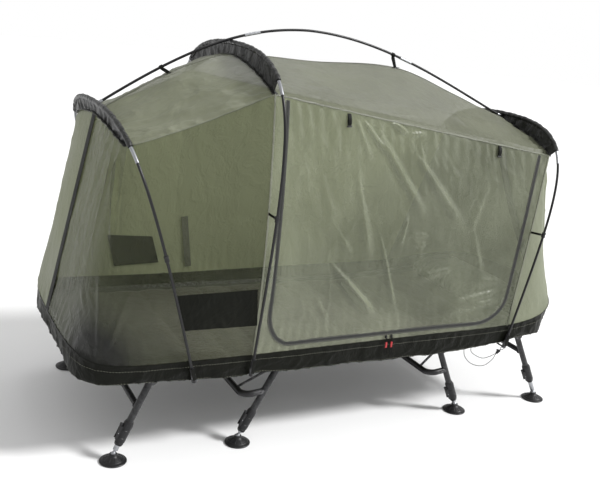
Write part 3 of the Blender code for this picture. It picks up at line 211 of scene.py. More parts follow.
class Tree:
    """Short hand for building a material's or a group's nodes."""

    def __init__(self, tree: bpy.types.NodeTree) -> None:
        """Keep the node tree that the nodes go into."""
        self.tree = tree

    def add(self, kind: str, **settings: object) -> Node:
        """Add a node and set its properties.

        Args:
            kind: Blender's name of the node type.
            **settings: Properties of the node.

        Returns:
            The new node.
        """
        node = self.tree.nodes.new(kind)
        for name, value in settings.items():
            setattr(node, name, value)
        return node

    def put(self, value: object, socket: Output) -> None:
        """Link an output to an input, or set the input's value.

        Args:
            value: A number, a colour or an output.
            socket: The input that takes it.
        """
        if isinstance(value, Output):
            self.tree.links.new(value, socket)
        elif isinstance(value, tuple) and len(value) == 3 and socket.type == "RGBA":
            socket.default_value = (*value, 1.0)
        else:
            socket.default_value = value

    def maths(self, operation: str, a: object, b: object = 0.0, clamp: bool = False) -> Output:
        """Return the output of a Math node."""
        node = self.add("ShaderNodeMath", operation=operation, use_clamp=clamp)
        self.put(a, node.inputs[0])
        self.put(b, node.inputs[1])
        return node.outputs[0]

    def blend(self, factor: object, a: object, b: object, mode: str = "MIX") -> Output:
        """Return the colour between a and b."""
        node = self.add("ShaderNodeMix", data_type="RGBA", blend_type=mode)
        self.put(factor, node.inputs["Factor"])
        self.put(a, node.inputs[6])
        self.put(b, node.inputs[7])
        return node.outputs[2]

    def span(self, value: object, low: float, high: float, start: float = 0.0,
             end: float = 1.0) -> Output:
        """Return the value carried from low..high to start..end.

        Args:
            value: The value to map.
            low: Where the range starts.
            high: Where it ends.
            start: The result at low.
            end: The result at high.

        Returns:
            The mapped value.
        """
        node = self.add("ShaderNodeMapRange")
        self.put(value, node.inputs["Value"])
        for name, number in (("From Min", low), ("From Max", high), ("To Min", start), ("To Max", end)):
            node.inputs[name].default_value = number
        return node.outputs["Result"]

    def noise(self, vector: object, scale: object, detail: float = 3.0,
              roughness: float = 0.5) -> Output:
        """Return the value of a noise texture.

        Args:
            vector: Where it is read.
            scale: Its scale.
            detail: Its detail.
            roughness: Its roughness.

        Returns:
            The noise's value.
        """
        node = self.add("ShaderNodeTexNoise")
        self.put(vector, node.inputs["Vector"])
        self.put(scale, node.inputs["Scale"])
        node.inputs["Detail"].default_value = detail
        node.inputs["Roughness"].default_value = roughness
        return node.outputs["Fac"]

    def coords(self, name: str = "Object") -> Output:
        """Return a texture coordinate."""
        return self.add("ShaderNodeTexCoord").outputs[name]

    def bump(self, height: object, strength: float, distance: float,
             normal: object = None) -> Output:
        """Return a bumped normal.

        Args:
            height: The height to follow.
            strength: The bump's strength.
            distance: The height's size in metres.
            normal: The normal to start from, or None.

        Returns:
            The bumped normal.
        """
        node = self.add("ShaderNodeBump")
        self.put(height, node.inputs["Height"])
        node.inputs["Strength"].default_value = strength
        node.inputs["Distance"].default_value = distance
        if normal is not None:
            self.put(normal, node.inputs["Normal"])
        return node.outputs["Normal"]


@dataclass(frozen=True)
class Socket:
    """One input or output of a shader group."""

    name: str
    kind: str = "NodeSocketFloat"
    value: object = None


class Effect:
    """A shader node group that more than one material uses."""

    name = "Effect"
    inputs: tuple[Socket, ...] = ()
    outputs: tuple[Socket, ...] = ()

    def build(self, t: Tree, source: Node, sink: Node) -> None:
        """Fill the group with its nodes."""
        raise NotImplementedError

    def group(self) -> bpy.types.NodeTree:
        """Return the group, made on its first use.

        Returns:
            The group, built once.
        """
        made = bpy.data.node_groups.get(self.name)
        if made is not None:
            return made
        made = bpy.data.node_groups.new(self.name, "ShaderNodeTree")
        for way, sockets in (("INPUT", self.inputs), ("OUTPUT", self.outputs)):
            for spec in sockets:
                socket = made.interface.new_socket(spec.name, in_out=way, socket_type=spec.kind)
                if spec.value is not None:
                    socket.default_value = spec.value
        t = Tree(made)
        self.build(t, t.add("NodeGroupInput"), t.add("NodeGroupOutput"))
        return made

    def use(self, t: Tree, **values: object) -> Node:
        """Place the group in a material with its own values.

        Args:
            t: The material's tree.
            **values: Values or sockets for the inputs, with _ for a space.

        Returns:
            The group node.
        """
        node = t.add("ShaderNodeGroup", node_tree=self.group())
        for name, value in values.items():
            t.put(value, node.inputs[name.replace("_", " ")])
        return node


class Weave(Effect):
    """Warp and weft threads of a plain cloth, on the cloth's own flat coordinates."""

    name = "Plain weave"
    inputs = (Socket("Vector", "NodeSocketVector"), Socket("Threads", value=900.0))
    outputs = (Socket("Height"), Socket("Gaps"))

    def build(self, t: Tree, source: Node, sink: Node) -> None:
        """Build crossing sine ridges and the holes between them.

        Args:
            t: The node tree to fill.
            source: The group's input node.
            sink: The group's output node.
        """
        parts = t.add("ShaderNodeSeparateXYZ")
        t.put(source.outputs["Vector"], parts.inputs[0])
        ridges = []
        for axis in ("X", "Y"):
            turn = t.maths("MULTIPLY", parts.outputs[axis], source.outputs["Threads"])
            wave = t.maths("SINE", t.maths("MULTIPLY", turn, math.tau))
            ridges.append(t.maths("ABSOLUTE", wave))
        top = t.maths("MAXIMUM", ridges[0], ridges[1])
        t.put(top, sink.inputs["Height"])
        t.put(t.span(top, 0.35, 0.6, 1.0, 0.0), sink.inputs["Gaps"])


class Creases(Effect):
    """Fine creases and soft waves of a hung cloth, on object coordinates."""

    name = "Cloth creases"
    inputs = (Socket("Vector", "NodeSocketVector"), Socket("Scale", value=6.0), Socket("Stretch", value=2.0))
    outputs = (Socket("Height"), Socket("Shade"))

    def build(self, t: Tree, source: Node, sink: Node) -> None:
        """Build two sizes of warped noise, one sharpened into creases.

        Args:
            t: The node tree to fill.
            source: The group's input node.
            sink: The group's output node.
        """
        warp = t.add("ShaderNodeTexNoise")
        t.put(source.outputs["Vector"], warp.inputs["Vector"])
        warp.inputs["Scale"].default_value = 2.3
        warp.inputs["Detail"].default_value = 2.0
        moved = t.add("ShaderNodeVectorMath", operation="MULTIPLY_ADD")
        t.put(warp.outputs["Color"], moved.inputs[0])
        moved.inputs[1].default_value = (0.35, 0.35, 0.35)
        t.put(source.outputs["Vector"], moved.inputs[2])
        shape = t.add("ShaderNodeCombineXYZ")
        shape.inputs[0].default_value = 1.0
        shape.inputs[1].default_value = 1.0
        t.put(t.maths("DIVIDE", 1.0, source.outputs["Stretch"]), shape.inputs[2])
        drawn = t.add("ShaderNodeVectorMath", operation="MULTIPLY")
        t.put(moved.outputs[0], drawn.inputs[0])
        t.put(shape.outputs[0], drawn.inputs[1])
        wide = t.noise(drawn.outputs[0], source.outputs["Scale"], 2.0)
        fine = t.noise(drawn.outputs[0], t.maths("MULTIPLY", source.outputs["Scale"], 3.1), 3.0, 0.6)
        ridge = t.maths("ABSOLUTE", t.maths("SUBTRACT", fine, 0.5))
        sharp = t.span(ridge, 0.0, 0.09, 1.0, 0.0)
        total = t.maths("ADD", wide, t.maths("MULTIPLY", sharp, 0.22))
        t.put(total, sink.inputs["Height"])
        t.put(t.noise(source.outputs["Vector"], 3.5, 4.0, 0.6), sink.inputs["Shade"])


class Wear(Effect):
    """Rubbed edges and settled dust of painted or moulded pieces."""

    name = "Wear and dust"
    inputs = (Socket("Vector", "NodeSocketVector"), Socket("Edge", value=0.5))
    outputs = (Socket("Rub"), Socket("Dust"), Socket("Grain"))

    def build(self, t: Tree, source: Node, sink: Node) -> None:
        """Build the rub from the surface's convexity, broken up by noise.

        Args:
            t: The node tree to fill.
            source: The group's input node.
            sink: The group's output node.
        """
        shape = t.add("ShaderNodeNewGeometry")
        edge = t.span(shape.outputs["Pointiness"], 0.53, 0.60)
        broken = t.noise(source.outputs["Vector"], 90.0, 4.0, 0.65)
        rub = t.maths("MULTIPLY", edge, t.span(broken, 0.42, 0.62))
        t.put(t.maths("MULTIPLY", rub, source.outputs["Edge"], clamp=True), sink.inputs["Rub"])
        parts = t.add("ShaderNodeSeparateXYZ")
        t.put(shape.outputs["Normal"], parts.inputs[0])
        upward = t.span(parts.outputs["Z"], 0.2, 1.0)
        patch = t.span(t.noise(source.outputs["Vector"], 14.0, 5.0, 0.6), 0.4, 0.75)
        t.put(t.maths("MULTIPLY", upward, patch), sink.inputs["Dust"])
        t.put(t.noise(source.outputs["Vector"], 900.0, 2.0), sink.inputs["Grain"])


WEAVE = Weave()
CREASES = Creases()
WEAR = Wear()


# Finishes


@dataclass(frozen=True)
class Finish:
    """A surface finish, made into a material on its first use."""

    name: str
    color: Triple
    roughness: float = 0.5
    metallic: float = 0.0
    gloss: float = 0.5

    def material(self) -> bpy.types.Material:
        """Return the finish's material.

        Returns:
            The material, built once.
        """
        made = bpy.data.materials.get(self.name)
        if made is not None:
            return made
        made = bpy.data.materials.new(self.name)
        made.use_nodes = True
        t = Tree(made.node_tree)
        shader = made.node_tree.nodes["Principled BSDF"]
        shader.inputs["Roughness"].default_value = self.roughness
        shader.inputs["Metallic"].default_value = self.metallic
        shader.inputs["Specular IOR Level"].default_value = self.gloss
        self.nodes(t, shader)
        return made

    def nodes(self, t: Tree, shader: Node) -> None:
        """Build what feeds the shader's inputs."""
        raise NotImplementedError


@dataclass(frozen=True)
class PaintedSteel(Finish):
    """Powder coat with rubbed edges, a little dust and orange peel."""

    bare: Triple = (0.16, 0.16, 0.165)

    def nodes(self, t: Tree, shader: Node) -> None:
        """Mix the coat with bare metal on its edges and with dust on top.

        Args:
            t: The material's node tree.
            shader: Its Principled shader.
        """
        where = t.coords()
        wear = WEAR.use(t, Vector=where, Edge=0.7)
        worn = t.blend(wear.outputs["Rub"], self.color, self.bare)
        t.put(t.blend(t.maths("MULTIPLY", wear.outputs["Dust"], 0.35), worn, (0.075, 0.07, 0.06)),
              shader.inputs["Base Color"])
        t.put(t.span(wear.outputs["Rub"], 0.0, 1.0, self.roughness, 0.28), shader.inputs["Roughness"])
        peel = t.noise(where, 420.0, 2.0)
        t.put(t.bump(peel, 0.12, 0.0004), shader.inputs["Normal"])


@dataclass(frozen=True)
class BareAlloy(Finish):
    """Drawn alloy with fine lengthwise scratches."""

    def nodes(self, t: Tree, shader: Node) -> None:
        """Stretch noise along the part for its scratches.

        Args:
            t: The material's node tree.
            shader: Its Principled shader.
        """
        where = t.coords()
        grain = t.add("ShaderNodeVectorMath", operation="MULTIPLY")
        t.put(where, grain.inputs[0])
        grain.inputs[1].default_value = (1.0, 1.0, 0.06)
        lines = t.noise(grain.outputs[0], 700.0, 3.0)
        t.put(t.blend(t.span(lines, 0.35, 0.65), self.color, tuple(c * 0.72 for c in self.color)),
              shader.inputs["Base Color"])
        t.put(t.span(lines, 0.3, 0.7, self.roughness - 0.08, self.roughness + 0.1), shader.inputs["Roughness"])
        t.put(t.bump(lines, 0.1, 0.0002), shader.inputs["Normal"])


@dataclass(frozen=True)
class MouldedPlastic(Finish):
    """Moulded plastic with a fine spark-eroded grain and dusty hollows."""

    grain: float = 0.25

    def nodes(self, t: Tree, shader: Node) -> None:
        """Grain the surface and dust it.

        Args:
            t: The material's node tree.
            shader: Its Principled shader.
        """
        where = t.coords()
        wear = WEAR.use(t, Vector=where, Edge=0.35)
        light = tuple(min(c * 3.0 + 0.02, 1.0) for c in self.color)
        rubbed = t.blend(wear.outputs["Rub"], self.color, light)
        t.put(t.blend(t.maths("MULTIPLY", wear.outputs["Dust"], 0.3), rubbed, (0.06, 0.057, 0.05)),
              shader.inputs["Base Color"])
        t.put(t.span(wear.outputs["Grain"], 0.3, 0.7, self.roughness - 0.05, self.roughness + 0.12),
              shader.inputs["Roughness"])
        t.put(t.bump(wear.outputs["Grain"], self.grain, 0.0002), shader.inputs["Normal"])


@dataclass(frozen=True)
class Cloth(Finish):
    """Woven cloth with creases, uneven dye and, for a mesh, gaps that show what lies behind.

    A sheer cloth covers by the share `cover` where it lies in the panel's plane, whose normal is `flat`,
    and by more on the flanks of its folds, where its threads are bunched.
    """

    shade: float = 0.15
    crease: float = 0.3
    crease_scale: float = 5.0
    stretch: float = 1.6
    threads: float = 520.0
    weave: float = 0.2
    cover: float = 1.0
    sheen: float = 0.0
    # inner: how much brighter the back faces are; painted light that stands in for the light inside the tent
    inner: float = 1.0
    flat: Triple | None = None
    bunch: float = 0.75
    # corner: centre of a painted shade; round it the cloth turns dark and denser, standing in for the shadow in
    # the tent's foot corner
    corner: Triple | None = None

    def nodes(self, t: Tree, shader: Node) -> None:
        """Build the cloth's colour, creases, weave and gaps, with painted light: shade in the weave's gaps and at
        a dark corner, and a brighter inner face.

        Args:
            t: The material's node tree.
            shader: Its Principled shader.
        """
        where = t.coords()
        flat = t.coords("UV")
        weave = WEAVE.use(t, Vector=flat, Threads=self.threads)
        folds = CREASES.use(t, Vector=where, Scale=self.crease_scale, Stretch=self.stretch)
        dark = tuple(c * (1.0 - self.shade) for c in self.color)
        light = tuple(min(c * (1.0 + self.shade), 1.0) for c in self.color)
        tone = t.blend(t.span(folds.outputs["Shade"], 0.3, 0.7), dark, light)
        # Painted shade: the weave's gaps darken towards 0.45 of the colour, standing in for shade between the
        # threads.
        painted_gap_shade = t.maths("MULTIPLY", weave.outputs["Gaps"], 0.35)
        tone = t.blend(painted_gap_shade, tone, tuple(c * 0.45 for c in self.color))
        # Painted shade: the colour darkens towards the corner point, standing in for the shadow in the tent's
        # foot corner.
        if self.corner is not None:
            away = t.add("ShaderNodeVectorMath", operation="DISTANCE")
            t.put(where, away.inputs[0])
            away.inputs[1].default_value = self.corner
            uneven = t.maths("MULTIPLY", folds.outputs["Shade"], 0.08)
            near = t.span(t.maths("ADD", away.outputs["Value"], uneven), 0.15, 0.36, 1.0, 0.0)
            tone = t.blend(near, tone, tuple(c * 0.05 for c in self.color))
        # Painted light: the back faces, seen from inside the tent, are brightened by inner, standing in for the
        # light inside.
        if self.inner != 1.0:
            back = t.add("ShaderNodeNewGeometry").outputs["Backfacing"]
            tone = t.blend(back, tone, tuple(min(c * self.inner, 1.0) for c in self.color))
        t.put(tone, shader.inputs["Base Color"])
        t.put(t.span(folds.outputs["Shade"], 0.3, 0.7, self.roughness - 0.06, self.roughness + 0.08),
              shader.inputs["Roughness"])
        fine = t.bump(weave.outputs["Height"], self.weave, 0.0003)
        t.put(t.bump(folds.outputs["Height"], self.crease, 0.02, fine), shader.inputs["Normal"])
        shader.inputs["Sheen Weight"].default_value = self.sheen
        shader.inputs["Sheen Roughness"].default_value = 0.4
        if self.cover < 1.0:
            thin = t.span(folds.outputs["Shade"], 0.35, 0.65, self.cover - 0.05, self.cover + 0.04)
            if self.flat is not None:
                turned = t.add("ShaderNodeVectorMath", operation="DOT_PRODUCT")
                t.put(t.coords("Normal"), turned.inputs[0])
                turned.inputs[1].default_value = self.flat
                tilt = t.maths("SUBTRACT", 1.0, t.maths("ABSOLUTE", turned.outputs["Value"]), clamp=True)
                bunched = t.maths("MULTIPLY", t.maths("SQRT", tilt), (1.0 - self.cover) * self.bunch)
                thin = t.maths("ADD", thin, bunched)
            # Painted shade: the cloth also grows denser towards the corner point, so the painted dark hides what
            # lies behind.
            if self.corner is not None:
                thin = t.maths("ADD", thin, t.maths("MULTIPLY", near, 0.65))
            t.put(t.maths("SUBTRACT", thin, t.maths("MULTIPLY", weave.outputs["Gaps"], 0.12), clamp=True),
                  shader.inputs["Alpha"])


@dataclass(frozen=True)
class Ticking(Cloth):
    """Cloth with woven stripes along its length."""

    stripe: Triple = (0.006, 0.008, 0.004)
    pitch: float = 0.026

    def nodes(self, t: Tree, shader: Node) -> None:
        """Add stripes to the plain cloth.

        Args:
            t: The material's node tree.
            shader: Its Principled shader.
        """
        super().nodes(t, shader)
        parts = t.add("ShaderNodeSeparateXYZ")
        t.put(t.coords(), parts.inputs[0])
        wave = t.maths("SINE", t.maths("MULTIPLY", parts.outputs["Y"], math.tau / self.pitch))
        base = shader.inputs["Base Color"].links[0].from_socket
        t.put(t.blend(t.span(wave, 0.1, 0.5), base, self.stripe), shader.inputs["Base Color"])


class Finishes(Enum):
    """The finishes that the bivvy's pieces take."""

    STEEL = PaintedSteel("powder_coat", (0.009, 0.009, 0.010), 0.42, gloss=0.35)
    ALLOY = BareAlloy("drawn_alloy", (0.42, 0.43, 0.45), 0.34, 1.0)
    PLASTIC = MouldedPlastic("black_moulding", (0.009, 0.009, 0.010), 0.40, gloss=0.35)
    POLE = MouldedPlastic("glass_fibre_pole", (0.006, 0.006, 0.007), 0.30, gloss=0.35, grain=0.05)
    RED = PaintedSteel("red_pull", (0.40, 0.012, 0.016), 0.33, bare=(0.5, 0.1, 0.1))
    # MESH's corner point places a painted shade, dark and dense, at the near lower corner of the foot end.
    MESH = Cloth("olive_mesh", (0.080, 0.088, 0.050), 0.38, shade=0.10, crease=0.25, cover=0.28, flat=NEAR_OUT,
                 bunch=0.55, corner=(-1.04, -0.45, 0.37), gloss=0.3)
    ROOF = Cloth("roof_mesh", (0.136, 0.143, 0.100), 0.48, shade=0.09, crease=0.25, cover=0.78, gloss=0.3)
    VEIL = Cloth("foot_roof_mesh", (0.178, 0.187, 0.134), 0.42, shade=0.09, crease=0.25, cover=0.76, gloss=0.3)
    DOOR = Cloth("door_mesh", (0.240, 0.258, 0.180), 0.34, shade=0.12, crease=0.22, cover=0.37, flat=NEAR_OUT)
    # GREEN and HEAD brighten their inner faces: painted light for the inside of the tent.
    GREEN = Cloth("green_wall", (0.160, 0.174, 0.100), 0.55, shade=0.12, threads=700.0, inner=2.5)
    HEAD = Cloth("head_wall", (0.150, 0.162, 0.108), 0.50, shade=0.10, crease=0.15, gloss=0.3, inner=1.6)
    SKIRT = Cloth("dark_skirt", (0.005, 0.0055, 0.0035), 0.42, crease_scale=6.0, threads=650.0, weave=0.05,
                  gloss=0.10)
    BLACK = Cloth("black_binding", (0.006, 0.0065, 0.005), 0.6, shade=0.2, threads=500.0, weave=0.3, gloss=0.12)
    GATHER = Cloth("gathered_black", (0.014, 0.0145, 0.0135), 0.40, shade=0.3, crease=0.7, threads=600.0,
                   gloss=0.4)
    TAPE = Cloth("grey_tape", (0.034, 0.037, 0.028), 0.7, shade=0.1, crease=0.1, threads=420.0, weave=0.6)
    QUILT = Cloth("quilted_cloth", (0.085, 0.080, 0.058), 0.80, crease=0.4, crease_scale=14.0, weave=0.4,
                  sheen=0.2)
    PILLOW = Ticking("striped_pillow", (0.018, 0.023, 0.013), 0.85, crease=0.4, crease_scale=12.0, weave=0.4,
                     sheen=0.2)
    DECK = Cloth("bed_deck", (0.022, 0.024, 0.018), 0.7, crease=0.2, threads=500.0, weave=0.4)
    ZIP = Cloth("zip_tape", (0.020, 0.021, 0.018), 0.5, crease=0.1, threads=500.0, weave=0.6)
    BINDING = Cloth("seam_binding", (0.125, 0.132, 0.094), 0.45, shade=0.2, threads=500.0, weave=0.4)
    THREAD = Cloth("stitching", (0.20, 0.205, 0.16), 0.8, crease=0.0, threads=1400.0, weave=0.5)
    CORD = Cloth("braided_cord", (0.008, 0.008, 0.008), 0.9, shade=0.2, crease=0.1, threads=300.0, weave=0.8,
                 gloss=0.1)

    @property
    def material(self) -> bpy.types.Material:
        """Return the finish's material."""
        return self.value.material()


# Modelling helpers


def clear_selection() -> None:
    """Leave object mode's selection empty."""
    if bpy.context.object is not None and bpy.context.object.mode != "OBJECT":
        bpy.ops.object.mode_set(mode="OBJECT")
    bpy.ops.object.select_all(action="DESELECT")


def take(obj: Piece) -> None:
    """Make an object the only selected one and the active one."""
    clear_selection()
    obj.select_set(True)
    bpy.context.view_layer.objects.active = obj


def settle(obj: Piece, name: str, finish: Finishes | None = None) -> Piece:
    """Name a new piece, apply its place to its mesh and dress it.

    Args:
        obj: The piece.
        name: Its name.
        finish: Its finish, or None where it has its materials.

    Returns:
        The same piece.
    """
    take(obj)
    bpy.ops.object.transform_apply(location=True, rotation=True, scale=True)
    obj.name = name
    obj.data.name = name
    if finish is not None:
        obj.data.materials.clear()
        obj.data.materials.append(finish.material)
    return obj


def apply_modifiers(obj: Piece) -> None:
    """Apply every modifier of a piece."""
    take(obj)
    for mod in list(obj.modifiers):
        bpy.ops.object.modifier_apply(modifier=mod.name)


def shade(obj: Piece, degrees: float = 40.0) -> None:
    """Shade a piece smooth except at its sharp edges."""
    take(obj)
    bpy.ops.object.shade_smooth_by_angle(angle=math.radians(degrees))


def join(parts: Sequence[Piece], name: str) -> Piece:
    """Join pieces into the first one.

    Args:
        parts: The pieces to merge; the first one stays.
        name: The merged piece's name.

    Returns:
        The merged piece.
    """
    clear_selection()
    for part in parts:
        part.select_set(True)
    bpy.context.view_layer.objects.active = parts[0]
    if len(parts) > 1:
        bpy.ops.object.join()
    parts[0].name = name
    parts[0].data.name = name
    return parts[0]


def aim(direction: Vector) -> Matrix:
    """Return the turn that carries Z to a direction."""
    return direction.to_track_quat("Z", "Y").to_matrix().to_4x4()


def bar(start: Vector, end: Vector, radius: float, finish: Finishes, sides: int = 20,
        bevel: float = 0.0006, name: str = "bar") -> Piece:
    """Make a round bar between two points with softened ends.

    Args:
        start: Centre of one end.
        end: Centre of the other.
        radius: The bar's radius.
        finish: Its finish.
        sides: Faces round it.
        bevel: Width of its end's edge.
        name: Its name.

    Returns:
        The bar, with its place in its mesh.
    """
    clear_selection()
    axis = end - start
    bpy.ops.mesh.primitive_cylinder_add(vertices=sides, radius=radius, depth=axis.length)
    obj = bpy.context.object
    if bevel:
        bpy.ops.object.mode_set(mode="EDIT")
        bm = bmesh.from_edit_mesh(obj.data)
        for edge in bm.edges:
            edge.select = abs(edge.verts[0].co.z - edge.verts[1].co.z) < 1e-6
        bmesh.update_edit_mesh(obj.data)
        bpy.ops.mesh.bevel(offset=min(bevel, radius * 0.4, axis.length * 0.4), segments=2, profile=0.6)
        bpy.ops.object.mode_set(mode="OBJECT")
    obj.matrix_world = Matrix.Translation((start + end) / 2) @ aim(axis)
    settle(obj, name, finish)
    shade(obj)
    return obj


def slab(centre: Vector, size: Sequence[float], finish: Finishes, turn: Matrix | None = None,
         bevel: float = 0.0008, name: str = "slab") -> Piece:
    """Make a box with rounded edges, its size along its own turned axes.

    Args:
        centre: Its middle.
        size: Its full sizes.
        finish: Its finish.
        turn: Its turn, or None.
        bevel: Its edge radius.
        name: Its name.

    Returns:
        The finished piece.
    """
    clear_selection()
    bpy.ops.mesh.primitive_cube_add(size=1.0)
    obj = bpy.context.object
    obj.data.transform(Matrix.Diagonal((*size, 1.0)))
    bpy.ops.object.mode_set(mode="EDIT")
    bpy.ops.mesh.select_all(action="SELECT")
    bpy.ops.mesh.bevel(offset=min(bevel, min(size) * 0.4), segments=2, profile=0.6)
    bpy.ops.object.mode_set(mode="OBJECT")
    obj.matrix_world = Matrix.Translation(centre) @ (turn.to_4x4() if turn is not None else Matrix())
    settle(obj, name, finish)
    shade(obj)
    return obj


def lathe(profile: Sequence[Pair], finish: Finishes, place: Matrix, sides: int = 32,
          name: str = "turned", degrees: float = 40.0) -> Piece:
    """Make a turned piece by drawing a disc up through a profile.

    Args:
        profile: Radius and height of each ring, from the bottom up.
        finish: Its finish.
        place: Where its own Z axis stands.
        sides: Faces round it.
        name: Its name.
        degrees: Edges sharper than this stay sharp.

    Returns:
        The turned piece.
    """
    clear_selection()
    bpy.ops.mesh.primitive_circle_add(vertices=sides, radius=profile[0][0], fill_type="NGON",
                                      location=(0.0, 0.0, profile[0][1]))
    obj = bpy.context.object
    bpy.ops.object.mode_set(mode="EDIT")
    bpy.ops.mesh.select_all(action="SELECT")
    for (r0, z0), (r1, z1) in zip(profile, profile[1:]):
        bpy.ops.mesh.extrude_region_move(TRANSFORM_OT_translate={"value": (0.0, 0.0, z1 - z0)})
        k = r1 / r0
        bpy.ops.transform.resize(value=(k, k, 1.0), center_override=(0.0, 0.0, z1))
    bpy.ops.mesh.select_all(action="SELECT")
    bpy.ops.mesh.normals_make_consistent(inside=False)
    bpy.ops.object.mode_set(mode="OBJECT")
    obj.data.transform(Matrix.Translation(obj.location))
    obj.matrix_world = place
    settle(obj, name, finish)
    shade(obj, degrees)
    return obj


def pipe(points: Line, radius: float, finish: Finishes, name: str = "pipe",
         roundness: int = 4) -> Piece:
    """Make a bent tube through points, as a mesh.

    Args:
        points: Its centre line.
        radius: Its radius.
        finish: Its finish.
        name: Its name.
        roundness: Blender's bevel resolution.

    Returns:
        The tube with closed ends.
    """
    clear_selection()
    curve = bpy.data.curves.new(name, "CURVE")
    curve.dimensions = "3D"
    curve.bevel_depth = radius
    curve.bevel_resolution = roundness
    curve.use_fill_caps = True
    line = curve.splines.new("POLY")
    line.points.add(len(points) - 1)
    for slot, point in zip(line.points, points):
        slot.co = (*point, 1.0)
    obj = bpy.data.objects.new(name, curve)
    bpy.context.scene.collection.objects.link(obj)
    take(obj)
    bpy.ops.object.convert(target="MESH")
    obj = bpy.context.object
    settle(obj, name, finish)
    shade(obj, 50.0)
    return obj


def rounded(points: Line, radius: float, steps: int = 8) -> list[Vector]:
    """Return a route whose inner corners are rounded by arcs.

    Args:
        points: The corners.
        radius: The corner radius.
        steps: Steps in each corner.

    Returns:
        The points of the rounded line.
    """
    route = [Vector(points[0])]
    for before, corner, after in zip(points, points[1:], points[2:]):
        a = (before - corner).normalized()
        b = (after - corner).normalized()
        half = a.angle(b) / 2
        centre = corner + (a + b).normalized() * (radius / math.sin(half))
        start = corner + a * (radius / math.tan(half)) - centre
        end = corner + b * (radius / math.tan(half)) - centre
        for k in range(steps + 1):
            route.append(centre + start.normalized().slerp(end.normalized(), k / steps) * radius)
    route.append(Vector(points[-1]))
    return route


def mirror_y(v: Vector, side: float) -> Vector:
    """Return a near side's point carried to the given side."""
    return Vector((v.x, -v.y, v.z)) if side > 0 else v.copy()


def ripple(v: Vector, scale: float, seed: float = 0.0) -> float:
    """Return smooth noise from -1 to 1 at a point."""
    return noise.noise(Vector((v.x * scale + seed, v.y * scale - seed * 1.7, v.z * scale + seed * 0.3)))


# Shape of the tent


